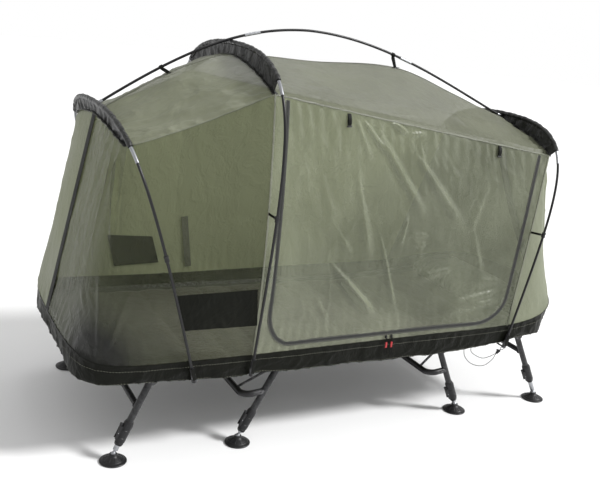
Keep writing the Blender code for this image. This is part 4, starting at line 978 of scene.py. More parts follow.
class Shape:
    """Places of the tent's seams, panels and poles: the frame's, with a flatter wall at the head end."""

    wall: tuple[tuple[Triple, Triple, float], ...] = (
        ((0.000, 0.000, 0.425), (0.150, 0.000, 1.165), 0.000),
        ((0.006, 0.200, 0.420), (0.152, 0.200, 1.147), 0.000),
        ((0.030, 0.370, 0.408), (0.160, 0.330, 1.121), 0.000),
        ((0.080, 0.448, 0.396), (0.170, 0.376, 1.109), 0.002),
        ((0.180, 0.478, 0.388), (0.200, 0.388, 1.118), 0.010),
        ((0.400, 0.479, 0.385), (0.400, 0.406, 1.193), 0.020),
        ((0.632, 0.478, 0.385), (0.648, 0.430, 1.305), 0.030),
        ((0.930, 0.4772, 0.390), (0.980, 0.410, 1.255), 0.012),
        ((1.400, 0.4760, 0.398), (1.500, 0.384, 1.180), 0.006),
        ((1.800, 0.475, 0.405), (1.972, 0.364, 1.113), 0.004),
        ((1.975, 0.462, 0.428), (1.978, 0.352, 1.119), -0.007),
        ((2.090, 0.400, 0.458), (1.984, 0.325, 1.131), -0.020),
        ((2.160, 0.270, 0.488), (1.992, 0.215, 1.169), -0.030),
        ((2.190, 0.000, 0.500), (2.000, 0.000, 1.212), -0.032),
    )
    corners: tuple[int, int, int] = (3, 6, 9)
    last: int = 13
    ridge_line: tuple[Pair, ...] = (
        (0.150, 1.165), (0.270, 1.240), (0.390, 1.308), (0.490, 1.355), (0.648, 1.404),
        (1.000, 1.403), (1.388, 1.405), (1.700, 1.315), (2.000, 1.212))
    hoop_y: float = 0.485
    hoop_z: float = 0.319
    hoops: tuple[dict[str, float], ...] = (
        {"x": 0.413, "lean": -0.308, "rise": 0.769, "flare": 0.124, "handle": 0.504, "top": 1.207, "fin": 0.425},
        {"x": 0.630, "lean": 0.018, "rise": 0.904, "flare": 0.118, "handle": 0.649, "top": 1.449, "fin": 0.445},
        {"x": 1.796, "lean": 0.226, "rise": 0.784, "flare": 0.013, "handle": 0.492, "top": 1.244, "fin": 0.392},
    )
    ridge: tuple[Pair, ...] = (
        (0.1500, 1.191), (0.442, 1.389), (0.670, 1.5130), (0.970, 1.519), (1.320, 1.517), (1.661, 1.357),
        (1.9970, 1.2274))

    def edges(self, s: float) -> tuple[Vector, Vector, float]:
        """Return the wall's foot, its roof seam and its bulge at column s.

        Args:
            s: The wall column.

        Returns:
            The wall's foot, its seam and its bulge there.
        """
        low = spline([w[0] for w in self.wall], s)
        i = min(int(s), self.last - 1)
        marks = (0, *self.corners, self.last)
        before = max(c for c in marks[:-1] if c <= s + 1e-9)
        after = min((c for c in marks[1:] if c > s + 1e-9), default=marks[-1])
        if before == after:
            before = max(c for c in marks if c < after)
        high = spline([w[1] for w in self.wall[before:after + 1]], s - before)
        return low, high, lerp(self.wall[i][2], self.wall[i + 1][2], s - i)

    def wall_point(self, s: float, t: float) -> Vector:
        """Return the near wall's point at column s, t from 0 at the tub to 1 at the roof seam.

        Args:
            s: The wall column.
            t: The share of the height.

        Returns:
            The place on the near wall.
        """
        low, high, bulge = self.edges(s)
        here = low.lerp(high, t)
        centre = Vector((min(max(here.x, 0.5), LENGTH - 0.5), 0.0, here.z))
        out = here - centre
        out = out.normalized() if out.length > 1e-6 else Vector((1.0, 0.0, 0.0))
        here = here + out * (bulge * 4.0 * t * (1.0 - t))
        return at(here.x, -here.y, here.z)

    def ridge_z(self, station: float) -> float:
        """Return the roof's height on its middle line."""
        line = [Vector((x, 0.0, z)) for x, z in self.ridge_line]
        low, _ = crossing(lambda t: spline(line, t).x > station, 0.0, len(line) - 1.0)
        return spline(line, low).z

    def roof_point(self, u: float, v: float) -> Vector:
        """Return the roof's point: u counts wall columns, v from -1 at the near seam to 1.

        Args:
            u: The column.
            v: The place across, from -1 at the near seam to 1 at the far one.

        Returns:
            The place on the roof.
        """
        seam = self.edges(u)[1]
        a, b, c = self.corners
        lower = u <= b
        f = (u - a) / (b - a) if lower else (u - b) / (c - b)
        span = (self.ridge_line[0][0], self.ridge_line[4][0]) if lower else (
            self.ridge_line[4][0], self.ridge_line[-1][0])
        first = self.wall[a if lower else b][1][0]
        last = self.wall[b if lower else c][1][0]
        station = lerp(*span, (seam.x - first) / (last - first))
        top = self.ridge_z(station)
        power = lerp(1.75, 1.15, math.sin(math.pi * f))
        w = abs(v)
        x = lerp(station, seam.x, w ** 1.5)
        y = math.copysign(abs(seam.y) * w, v) if w else 0.0
        return at(x, y, top - (top - seam.z) * w ** power)

    def hoop_point(self, hoop: dict[str, float], t: float) -> Vector:
        """Return a hoop's point, t from 0 at the near end to 1 at the top and 2 at the far end."""
        u = t if t <= 1.0 else 2.0 - t
        height = hoop["top"] - self.hoop_z
        half, rise = bezier(((self.hoop_y, 0.0), (self.hoop_y + hoop["flare"], hoop["rise"]),
                             (hoop["handle"], height), (0.0, height)), u)
        return at(hoop["x"] + hoop["lean"] * rise, -half if t <= 1.0 else half, self.hoop_z + rise)

    def hoop_at(self, hoop: dict[str, float], measure: Callable[[Vector], float], value: float,
                low: float = 0.0, high: float = 1.0) -> float:
        """Return the place on the near half where a rising measure reaches a value.

        Args:
            hoop: The hoop's numbers.
            measure: What is measured at a point of the hoop.
            value: The value it has to reach.
            low: Place on the hoop where the search starts.
            high: Place where it ends.

        Returns:
            The place, as hoop_point counts it.
        """
        return sum(crossing(lambda t: measure(self.hoop_point(hoop, t)) > value, low, high, 40)) / 2

    def ridge_point(self, t: float) -> Vector:
        """Return the ridge pole's point, t from 0 at the foot end to 2."""
        x, z = bezier(self.ridge[0:4], t) if t <= 1.0 else bezier(self.ridge[3:7], t - 1.0)
        return at(x, 0.0, z)


SHAPE = Shape()


# Cloth helpers


def piece(name: str, points: Line, faces: Sequence[tuple[int, ...]], finishes: Sequence[Finishes],
          flat: Sequence[Pair] = (), kinds: Sequence[int] = (), merge: float | None = None,
          outwards: bool = True) -> Piece:
    """Make a piece from its points and faces.

    Args:
        name: Its name.
        points: Its points.
        faces: Places of each face's points.
        finishes: Its finishes.
        flat: The cloth's flat coordinates at each face's corners.
        kinds: Place of each face's finish.
        merge: Distance within which points are merged, or None to keep them.
        outwards: Whether its faces are turned outwards.

    Returns:
        The piece.
    """
    mesh = bpy.data.meshes.new(name)
    mesh.from_pydata(points, [], faces)
    if flat:
        mesh.uv_layers.new(name="cloth").data.foreach_set("uv", [c for corner in flat for c in corner])
    for finish in finishes:
        mesh.materials.append(finish.material)
    if kinds:
        mesh.polygons.foreach_set("material_index", kinds)
    bm = bmesh.new()
    bm.from_mesh(mesh)
    if merge is not None:
        bmesh.ops.remove_doubles(bm, verts=bm.verts, dist=merge)
    if outwards:
        bmesh.ops.recalc_face_normals(bm, faces=bm.faces)
    bm.to_mesh(mesh)
    bm.free()
    obj = bpy.data.objects.new(name, mesh)
    bpy.context.scene.collection.objects.link(obj)
    return obj


def heading(line: Line, i: int) -> Vector:
    """Return a line's direction at one of its points."""
    return (line[min(i + 1, len(line) - 1)] - line[max(i - 1, 0)]).normalized()


class Patchwork:
    """Collects grids of points into one continuous sheet with a finish for each grid."""

    def __init__(self) -> None:
        """Start with no points."""
        self.points: list[Vector] = []
        self.faces: list[tuple[int, ...]] = []
        self.corners: list[Pair] = []
        self.kinds: list[int] = []
        self.finishes: list[Finishes] = []

    def add(self, rows: Grid, finish: Finishes, flip: bool = False) -> None:
        """Add one grid.

        Args:
            rows: The grid's points.
            finish: The finish of its faces.
            flip: Whether its faces look the other way.
        """
        if finish not in self.finishes:
            self.finishes.append(finish)
        kind = self.finishes.index(finish)
        wide = len(rows[0])
        base = len(self.points)
        self.points += [p for row in rows for p in row]
        middle = wide // 2
        along = [0.0]
        for a, b in zip(rows, rows[1:]):
            along.append(along[-1] + (b[middle] - a[middle]).length)
        across = [0.0]
        centre = rows[len(rows) // 2]
        for a, b in zip(centre, centre[1:]):
            across.append(across[-1] + (b - a).length)
        for i in range(len(rows) - 1):
            for j in range(wide - 1):
                order = [(i, j), (i, j + 1), (i + 1, j + 1), (i + 1, j)]
                if flip:
                    order.reverse()
                self.faces.append(tuple(base + a * wide + b for a, b in order))
                self.corners += [(along[a], across[b]) for a, b in order]
                self.kinds.append(kind)

    def make(self, name: str, merge: float = 0.0004) -> Piece:
        """Return the sheet, shaded smooth and with its seams merged."""
        sheet = piece(name, self.points, self.faces, self.finishes, self.corners, self.kinds, merge, False)
        sheet.data.shade_smooth()
        return sheet


def one_sheet(name: str, rows: Grid, finish: Finishes, flip: bool = False, merge: float = 0.0) -> Piece:
    """Return a sheet of one grid in one finish."""
    sheet = Patchwork()
    sheet.add(rows, finish, flip)
    return sheet.make(name, merge)


def pressed(rows: Grid, amount: Callable[[Vector, int, int], float],
            way: float = 1.0) -> Rows:
    """Return a grid moved along its own normals.

    Args:
        rows: The grid's points.
        amount: Distance for a point, from the point and its place in the grid.
        way: 1 for the side that rows cross columns points to, -1 for the other.

    Returns:
        The moved grid.
    """
    made = []
    for i, row in enumerate(rows):
        before = rows[max(i - 1, 0)]
        after = rows[min(i + 1, len(rows) - 1)]
        line = []
        for j, p in enumerate(row):
            along = after[j] - before[j]
            up = row[min(j + 1, len(row) - 1)] - row[max(j - 1, 0)]
            line.append(p + along.cross(up).normalized() * (way * amount(p, i, j)))
        made.append(line)
    return made


def ribbon(points: Line, outs: Line, width: float, thick: float, finish: Finishes,
           name: str, lift: float = 0.0006, wave: float = 0.0, closed: bool = False) -> Piece:
    """Make a flat strap that follows a line on a surface.

    Args:
        points: The line.
        outs: The surface's outward direction at each point.
        width: The strap's width.
        thick: Its thickness.
        finish: Its finish.
        name: Its name.
        lift: How far its underside stands off the line.
        wave: How far its edges wave in and out, as a gathered binding's do.
        closed: Whether the line is a loop.

    Returns:
        The strap.
    """
    verts = []
    count = len(points)
    run = 0.0
    runs = []
    for i, (p, out) in enumerate(zip(points, outs)):
        before = points[i - 1] if i or closed else points[0]
        after = points[(i + 1) % count] if i + 1 < count or closed else points[-1]
        if i:
            run += (p - points[i - 1]).length
        runs.append(run)
        along = (after - before).normalized()
        side = along.cross(out).normalized()
        half = width / 2 * (1.0 + wave * math.sin(run / 0.011) + wave * 0.6 * math.sin(run / 0.0043))
        bulge = lift + thick * 0.35 * wave * math.sin(run / 0.0065)
        for across, up in ((-1, 0.0), (-1, 0.8), (-0.8, 1.0), (0.8, 1.0), (1, 0.8), (1, 0.0)):
            verts.append(p + side * (half * across) + out * (bulge + thick * up))
    faces = []
    corners = []
    flat = (0.0, 0.1, 0.2, 0.8, 0.9, 1.0, 1.9)
    for i in range(count if closed else count - 1):
        n = (i + 1) % count
        end = runs[n] if n else run + (points[0] - points[-1]).length
        for k in range(6):
            m = (k + 1) % 6
            faces.append((i * 6 + k, n * 6 + k, n * 6 + m, i * 6 + m))
            corners += [(runs[i], flat[k] * width), (end, flat[k] * width), (end, flat[k + 1] * width),
                        (runs[i], flat[k + 1] * width)]
    if not closed:
        faces += [tuple(range(6)), tuple(range(count * 6 - 1, count * 6 - 7, -1))]
        corners += [(0.0, k * 0.001) for k in range(12)]
    strap = piece(name, verts, faces, [finish], corners)
    shade(strap, 50.0)
    return strap


def stitches(points: Line, outs: Line, name: str, pitch: float = 0.007,
             length: float = 0.0042, radius: float = 0.0005, lift: float = 0.0012,
             finish: Finishes = Finishes.THREAD) -> Piece:
    """Make a row of stitches along a line on a surface.

    Args:
        points: The line.
        outs: The surface's outward direction at each point.
        name: The row's name.
        pitch: From one stitch to the next.
        length: Length of one stitch.
        radius: Half its thickness.
        lift: How far it stands off the line.
        finish: Its finish.

    Returns:
        The stitches as one piece.
    """
    verts = []
    faces = []
    gone = 0.0
    due = pitch / 2
    for (a, out), b in zip(zip(points, outs), points[1:]):
        span = (b - a).length
        if span < 1e-9:
            continue
        along = (b - a) / span
        side = along.cross(out).normalized()
        while due <= gone + span:
            centre = a + along * (due - gone) + out * lift
            base = len(verts)
            for x, y in ((-1, 0), (-0.6, 1), (0.6, 1), (1, 0)):
                for s in (-1.0, 1.0):
                    verts.append(centre + along * (x * length / 2) + side * (s * radius) + out * (y * radius))
            for k in (0, 2, 4):
                faces.append((base + k, base + k + 1, base + k + 3, base + k + 2))
            faces.append((base, base + 2, base + 4, base + 6))
            faces.append((base + 1, base + 7, base + 5, base + 3))
            faces.append((base, base + 6, base + 7, base + 1))
            due += pitch
        gone += span
    return piece(name, verts, faces, [finish])


def ride(obj: Piece, body: str, *nodes: str, slot: str = "") -> Piece:
    """Make a piece move with a body and stand for CAD nodes.

    Args:
        obj: The piece.
        body: The body it rides on.
        *nodes: The CAD nodes it replaces.
        slot: Not used.

    Returns:
        The same piece.
    """
    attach(obj, body)
    if nodes:
        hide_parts(*nodes)
    LOG.info("%s rides on %s with %d faces", obj.name, body, len(obj.data.polygons))
    return obj


def fix(obj: Piece, *nodes: str, slot: str = "") -> Piece:
    """Make a piece move with the bivvy's body, which holds the tent and the bed's frame."""
    return ride(obj, "bivvy", *nodes, slot=slot)


# The tent's cloth


class Fold:
    """One long fold of a panel: a soft ridge with a hollow on each side, widening as it runs out."""

    def __init__(self, row: Sequence[float]) -> None:
        """Keep the fold's line.

        Args:
            row: Station, side distance and height of its narrow end, the same for its wide end, half its
                width there, and how far its ridge stands out.
        """
        self.start = at(*row[0:3])
        self.line = at(*row[3:6]) - self.start
        self.width, self.height = row[6:8]
        self.middle = self.start + self.line / 2
        self.reach = self.line.length / 2 + self.width * 3.0

    def lift(self, p: Vector) -> float:
        """Return how far the fold lifts the cloth at a place."""
        if (p - self.middle).length_squared > self.reach ** 2:
            return 0.0
        away = p - self.start
        t = min(max(away.dot(self.line) / self.line.length_squared, 0.0), 1.0)
        width = self.width * (0.45 + 0.55 * t)
        off = (away - self.line * t).length_squared / (width * width)
        if off > 8.0:
            return 0.0
        taper = smooth(t / 0.22 + 0.1) * smooth((1.0 - t) / 0.35 + 0.1)
        return 1.8 * self.height * taper * (1.0 - 0.7 * off) * math.exp(-off)


FOLDS_MM = (
    (850, -444, 775, 1140, -470, 480, 26, 13), (800, -452, 692, 925, -470, 480, 18, 7),
    (805, -413, 1150, 925, -440, 830, 30, 10), (770, -414, 1121, 850, -430, 900, 20, 7),
    (980, -405, 1240, 1062, -413, 1080, 18, 8.5), (1008, -404, 1238, 1140, -414, 1100, 16, 8),
    (928, -405, 1240, 950, -415, 1070, 17, 6.5), (899, -404, 1240, 840, -416, 1090, 18, 6),
    (1120, -402, 1244, 1229, -409, 1183, 15, 11), (1360, -405, 1204, 1229, -409, 1180, 14, 10),
    (1274, -408, 1175, 1309, -418, 1070, 13, 6.5), (1340, -407, 1204, 1480, -424, 1020, 17, 8.5),
    (1300, -408, 1190, 1390, -422, 1040, 14, 6), (1500, -410, 1150, 1590, -420, 1040, 13, 7),
    (1584, -418, 1070, 1474, -425, 1015, 20, 4.5), (1357, -443, 800, 1260, -443, 802, 20, 2.2),
    (1349, -445, 768, 1265, -445, 772, 20, 1.8), (1490, -454, 664, 1300, -457, 628, 26, 3.2),
    (1109, -439, 850, 1227, -470, 480, 16, 5.5), (1244, -437, 880, 1215, -445, 760, 14, 5),
    (1735, -464, 560, 1470, -468, 505, 28, 4.2), (1740, -466, 520, 1420, -470, 480, 26, 3.4),
    (1760, -462, 600, 1600, -460, 600, 28, 3), (1256, -413, 1120, 1530, -440, 810, 34, 8),
    (870, -433, 920, 1010, -448, 720, 22, 7), (778, -424, 1020, 930, -440, 820, 22, 6.5),
    (1715, -414, 1110, 1620, -430, 930, 22, 7), (1690, -412, 1120, 1560, -440, 800, 26, 7),
    (1080, -405, 1200, 1330, -438, 860, 30, 7.5), (720, -402, 1260, 870, -428, 960, 26, 8.5),
    (707, -399, 1294, 880, -406, 1200, 18, 8), (722, -437, 880, 800, -448, 730, 18, 6),
    (740, -421, 1070, 880, -448, 740, 24, 7.5), (760, -461, 600, 870, -467, 505, 14, 6),
    (1560, -440, 900, 1640, -462, 600, 28, 6.5), (1000, -420, 1060, 1080, -452, 700, 32, 7),
    (300, -446, 760, 600, -478, 395, 18, 11), (420, -462, 570, 565, -477, 400, 13, 6.5),
    (288, -446, 745, 262, -466, 520, 15, 10), (285, -446, 740, 330, -468, 500, 15, 9.5),
    (300, -446, 740, 440, -463, 570, 14, 8), (625, -402, 1280, 480, -420, 1020, 22, 7.5),
    (632, -403, 1251, 560, -432, 920, 20, 7), (640, -420, 1050, 610, -456, 640, 16, 7),
    (600, -406, 1200, 400, -440, 800, 28, 7), (645, -476, 400, 400, -470, 480, 16, 6),
    (180, -385, 1060, 270, -440, 780, 20, 6), (158, -229, 1095, 60, -175, 580, 18, 15),
    (149, -142, 1060, 31, -135, 430, 16, 13), (152, -285, 1080, 86, -300, 660, 18, 14.5),
    (156, -335, 1080, 113, -420, 780, 20, 12), (130, -240, 950, 45, -250, 480, 17, 12),
    (135, -180, 980, 40, -80, 500, 17, 10), (90, -445, 430, 110, -380, 720, 22, 7.5),
    (85, -440, 430, 60, -300, 620, 18, 6.5), (110, -455, 430, 200, -440, 680, 20, 7),
    (1975, -345, 1080, 2040, -380, 700, 24, 8), (1990, -200, 1130, 2120, -230, 640, 26, 8),
    (2090, -400, 480, 2050, -360, 760, 22, 7), (1985, -280, 1110, 2090, -330, 600, 20, 7),
)
FOLDS = tuple(Fold([v / 1000 for v in row]) for row in FOLDS_MM)


@dataclass
class Drape:
    """Swell, puckers, pleats and pulled wrinkles of the tent's panels, as functions of the place."""

    swell: float = 0.0060
    pucker: float = 0.0030
    pleat: float = 0.0030
    crease: float = 0.0032
    seam_reach: float = 0.016
    near_out: Vector = field(default_factory=lambda: Vector(NEAR_OUT))

    def side(self, p: Vector, above: float, below: float, seed: float = 0.0) -> float:
        """Return how far a wall's cloth stands off its smooth shape.

        Args:
            p: The place.
            above: Height above the tub.
            below: Height below the roof seam.
            seed: Shifts the pattern.

        Returns:
            Distance outwards in metres.
        """
        along = p.x + p.y
        total = self.swell * ripple(p, 3.6, seed) + self.swell * 0.4 * ripple(p, 9.0, seed + 5.0)
        slant = Vector((p.x * 1.7 + p.z * 0.9, p.y * 1.7, p.z * 0.8 - p.x * 0.5))
        line = abs(ripple(slant, 5.2, seed + 11.0) + 0.25 * ripple(p, 14.0, seed + 12.0))
        total += self.crease * (math.exp(-line / 0.07) - 0.3) * (0.5 + 0.5 * ripple(p, 3.1, seed + 13.0))
        hem = math.exp(-above / (0.030 + 0.030 * (1.0 + ripple(p, 7.0, seed + 2.0))))
        total += self.pucker * math.sin(along / 0.0062 + 3.0 * ripple(p, 6.0, seed)) * hem
        drop = 0.025 + 0.06 * (1.0 + ripple(Vector((along, 0.0, 0.0)), 13.0, seed + 9.0))
        fold = math.sin(along / 0.0085 + 3.6 * ripple(p, 5.0, seed + 4.0))
        total += self.pleat * fold * math.exp(-below / drop) * (0.6 + 0.4 * ripple(p, 3.0, seed))
        if seed == 0.0:
            total += sum(fold.lift(p) for fold in FOLDS)
        edge = smooth((above + 0.002) / self.seam_reach) * smooth((below + 0.001) / self.seam_reach)
        return total * edge

    def roof(self, p: Vector, to_hoop: float, to_side: float, seed: float = 0.0) -> float:
        """Return how far the roof's cloth stands off its smooth shape.

        Args:
            p: The place.
            to_hoop: Distance to the nearer hoop seam.
            to_side: Distance to the wall's seam.
            seed: Shifts the pattern.

        Returns:
            Distance outwards in metres.
        """
        total = self.swell * 0.9 * ripple(p, 4.0, seed + 3.0)
        total += self.swell * 1.1 * ripple(Vector((p.x * 0.22, p.y, p.z * 1.3)), 13.0, seed + 8.0)
        line = abs(ripple(Vector((p.x * 0.30 + p.y * 0.2, p.y * 1.5, p.z * 1.8)), 9.0, seed + 14.0))
        total += self.crease * 2.2 * (math.exp(-line / 0.09) - 0.3)
        drop = 0.05 + 0.08 * (1.0 + ripple(Vector((p.y, p.z, 0.0)), 12.0, seed + 1.0))
        fold = math.sin((p.y + p.z * 0.6) / 0.0066 + 2.6 * ripple(p, 5.0, seed + 6.0))
        total += self.pleat * 0.9 * fold * math.exp(-to_hoop / drop)
        side = math.sin(p.x / 0.0066 + 2.4 * ripple(p, 6.0, seed + 7.0))
        total += self.pleat * 0.6 * side * math.exp(-to_side / 0.05)
        taut = smooth((abs(p.y) + 0.004) / 0.07)
        return total * taut * smooth(to_hoop / self.seam_reach) * smooth(to_side / self.seam_reach)


DRAPE = Drape()


def near_point(s: float, t: float, lift: float = 0.0) -> Vector:
    """Return a place on the near main wall's finished cloth, moved outwards by lift."""
    low, high, _ = SHAPE.edges(s)
    p = SHAPE.wall_point(s, t)
    rise = high.z - low.z
    gap = min(s - SHAPE.corners[1], SHAPE.corners[2] - s) * 0.40
    push = DRAPE.side(p, rise * t, rise * (1.0 - t)) * smooth(gap / 0.02)
    calm = smooth(abs(DOOR_SHAPE.off((s - SHAPE.corners[1]) / 3.0, t)) / 0.028)
    return p + DRAPE.near_out * (push * (0.12 + 0.88 * calm) + lift)


@dataclass
class DoorShape:
    """Outline of the door's zip on the near wall, in shares along and up the wall."""

    left: float = 0.050
    right: float = 0.962
    bottom: float = 0.035
    top: float = 0.990
    corner: float = 0.130
    arc: int = 28
    flat: int = 190
    steps: int = 70

    def wall_size(self) -> Pair:
        """Return the length and height of the near main wall."""
        first, last = SHAPE.wall[SHAPE.corners[1]], SHAPE.wall[SHAPE.corners[2]]
        return last[0][0] - first[0][0], first[1][2] - first[0][2]

    def corners(self) -> Pair:
        """Return the corner's shares along and up the wall."""
        span, rise = self.wall_size()
        return self.corner / span, self.corner / rise

    def off(self, p: float, q: float) -> float:
        """Return the distance from the outline of a pair of shares, below zero inside it.

        Args:
            p: Share along the wall.
            q: Share up the wall.

        Returns:
            The distance in metres.
        """
        span, rise = self.wall_size()
        half = (self.right - self.left) / 2 * span - self.corner
        dx = max(abs(p - (self.left + self.right) / 2) * span - half, 0.0)
        dz = max((self.bottom - q) * rise + self.corner, 0.0)
        return math.hypot(dx, dz) - self.corner

    def lower(self) -> list[Pair]:
        """Return the outline's rounded bottom from the left corner's start to the right one's end."""
        rp, rq = self.corners()
        turns = [math.pi / 2 * k / self.arc for k in range(self.arc + 1)]
        line = [(self.left + rp * (1 - math.cos(a)), self.bottom + rq * (1 - math.sin(a))) for a in turns]
        line += [(p, self.bottom) for p in shares(self.left + rp, self.right - rp, self.flat)[1:-1]]
        return line + [(self.right - rp * (1 - math.sin(a)), self.bottom + rq * (1 - math.cos(a))) for a in turns]

    def outline(self, top: float) -> list[Pair]:
        """Return the outline from a height down the left side, round the bottom and up the right."""
        lower = self.lower()
        left = [(self.left, q) for q in shares(top, lower[0][1], self.steps)[:-1]]
        right = [(self.right, q) for q in shares(lower[-1][1], top, self.steps)[1:]]
        return left + lower + right

    def place(self, pq: Pair, lift: float = 0.0) -> Vector:
        """Return the place on the cloth for a pair of shares."""
        return near_point(lerp(SHAPE.corners[1], SHAPE.corners[2], pq[0]), pq[1], lift)


DOOR_SHAPE = DoorShape()


@dataclass
class Canopy:
    """Roof and walls of the tent as one continuous sheet, with the opening that the door closes."""

    foot_columns: int = 40
    side_columns: int = 62
    main_columns: int = 150
    head_columns: int = 40
    header_columns: int = 120
    near_rows: int = 90
    far_rows: int = 60
    roof_edge: float = 0.06
    area: float = 5.6

    def wall(self, columns: Sequence[float], rows: int, side: float, seed: float) -> Rows:
        """Return the finished grid of a wall.

        Args:
            columns: The wall columns.
            rows: Number of steps up.
            side: NEAR or FAR.
            seed: Shifts the folds.

        Returns:
            Rows along the columns, each from the tub to the roof seam.
        """
        smooth_rows = []
        heights = []
        for s in columns:
            low, high, _ = SHAPE.edges(s)
            smooth_rows.append([mirror_y(SHAPE.wall_point(s, j / rows), side) for j in range(rows + 1)])
            heights.append(high.z - low.z)

        def amount(p: Vector, i: int, j: int) -> float:
            """Return the fold height, fading at the hoop seams."""
            s = columns[i]
            gap = min(abs(s - m) for m in SHAPE.corners) * 0.14
            t = j / rows
            ends = smooth(gap / 0.02) * (smooth(abs(p.y) / 0.03) if s < 1.0 or s > SHAPE.last - 1.0 else 1.0)
            return DRAPE.side(p, heights[i] * t, heights[i] * (1.0 - t), seed) * ends

        return pressed(smooth_rows, amount, 1.0 if side < 0 else -1.0)

    def surround(self) -> Rows:
        """Return the grid between the door's outline and the near main wall's edges.

        Returns:
            Rows from one outline to the other.
        """
        outline = DOOR_SHAPE.outline(1.0)
        last = len(outline) - 1
        side = DOOR_SHAPE.steps
        turn = side + DOOR_SHAPE.arc // 2
        under = side + DOOR_SHAPE.arc
        rim = ((0, 0.0, 1.0), (side, 0.0, 0.10), (turn, 0.0, 0.0), (under, 0.10, 0.0), (last - under, 0.92, 0.0),
               (last - turn, 1.0, 0.0), (last - side, 1.0, 0.10), (last, 1.0, 1.0))
        made = []
        for k, (p, q) in enumerate(outline):
            start, end = next(pair for pair in zip(rim, rim[1:]) if k <= pair[1][0])
            share = (k - start[0]) / (end[0] - start[0])
            outer = (lerp(start[1], end[1], share), lerp(start[2], end[2], share))
            made.append([DOOR_SHAPE.place((lerp(outer[0], p, t), lerp(outer[1], q, t)))
                         for t in shares(0.0, 1.0, 9)])
        return made

    def roof(self, edge_foot: Line, edge_head: Line,
             columns: Sequence[float]) -> Rows:
        """Return the roof's grid, its ends fitted to the walls' upper edges.

        Args:
            edge_foot: Points of the foot wall's upper edge from the near side to the far side.
            edge_head: Points of the head wall's upper edge, the same way.
            columns: Wall columns between the first and the last hoop.

        Returns:
            Rows along the columns, each from the near seam to the far seam.
        """
        count = len(edge_foot)
        shares_foot = [p.y / edge_foot[-1].y for p in edge_foot]
        shares_head = [p.y / edge_head[-1].y for p in edge_head]
        first, _, last = SHAPE.corners
        rows = []
        for u in columns:
            f = (u - first) / (last - first)
            rows.append([SHAPE.roof_point(u, lerp(shares_foot[j], shares_head[j], f)) for j in range(count)])
        for ends, index, step in ((edge_foot, 0, 1), (edge_head, len(rows) - 1, -1)):
            shift = [ends[j] - rows[index][j] for j in range(count)]
            centre = rows[index][count // 2]
            for k in range(len(rows)):
                i = index + step * k
                away = abs(rows[i][count // 2].x - centre.x)
                if away > self.roof_edge:
                    break
                fade = 1.0 - smooth(away / self.roof_edge)
                for j in range(count):
                    rows[i][j] = rows[i][j] + shift[j] * fade
        seams = [rows[columns.index(float(mark))][count // 2].x for mark in SHAPE.corners]

        def amount(p: Vector, i: int, j: int) -> float:
            """Return the fold height of the roof."""
            to_hoop = min(abs(rows[i][count // 2].x - x) for x in seams)
            to_side = min((rows[i][0] - p).length, (rows[i][-1] - p).length)
            return DRAPE.roof(p, to_hoop, to_side)

        return pressed(rows, amount)

    def build(self) -> Piece:
        """Build and dress the canopy."""
        foot, door, head = SHAPE.corners
        foot_list = shares(0, foot, self.foot_columns)
        side_list = shares(foot, door, self.side_columns)
        main_list = shares(door, head, self.main_columns)
        head_list = shares(head, SHAPE.last, self.head_columns)
        sheet = Patchwork()
        walls = [self.wall(columns, rows, side, seed) for columns, rows, side, seed in (
            (foot_list + side_list[1:], self.near_rows, NEAR, 0.0),
            (foot_list + side_list[1:], self.near_rows, FAR, 21.0),
            (main_list, self.far_rows, FAR, 27.0),
            (head_list, self.near_rows, NEAR, 0.0),
            (head_list, self.near_rows, FAR, 33.0))]
        header = [[DOOR_SHAPE.place((p, DOOR_SHAPE.top)), DOOR_SHAPE.place((p, 1.0))]
                  for p in shares(DOOR_SHAPE.left, DOOR_SHAPE.right, self.header_columns)]
        for rows, finish, flip in zip(
                (*walls, self.surround(), header),
                (Finishes.MESH, Finishes.GREEN, Finishes.GREEN, Finishes.HEAD, Finishes.HEAD, Finishes.DOOR,
                 Finishes.DOOR),
                (True, False, False, True, False, True, True)):
            sheet.add(rows, finish, flip)
        near_foot, far_foot, _, near_head, far_head = walls
        edge_foot = [near_foot[i][-1] for i in range(len(foot_list) - 1, 0, -1)]
        edge_foot += [far_foot[i][-1] for i in range(len(foot_list))]
        edge_head = [near_head[i][-1] for i in range(len(head_list) - 1)]
        edge_head += [far_head[i][-1] for i in range(len(head_list) - 1, -1, -1)]
        columns = side_list + main_list[1:]
        roof = self.roof(edge_foot, edge_head, columns)
        split = len(side_list)
        sheet.add(roof[:split], Finishes.VEIL, flip=True)
        sheet.add(roof[split - 1:], Finishes.ROOF, flip=True)
        canopy = sheet.make("canopy")
        fix(canopy, "wall_foot_near", "wall_foot_far", "wall_main_far", "wall_head", "roof", "door_surround",
            slot="olive")
        return canopy


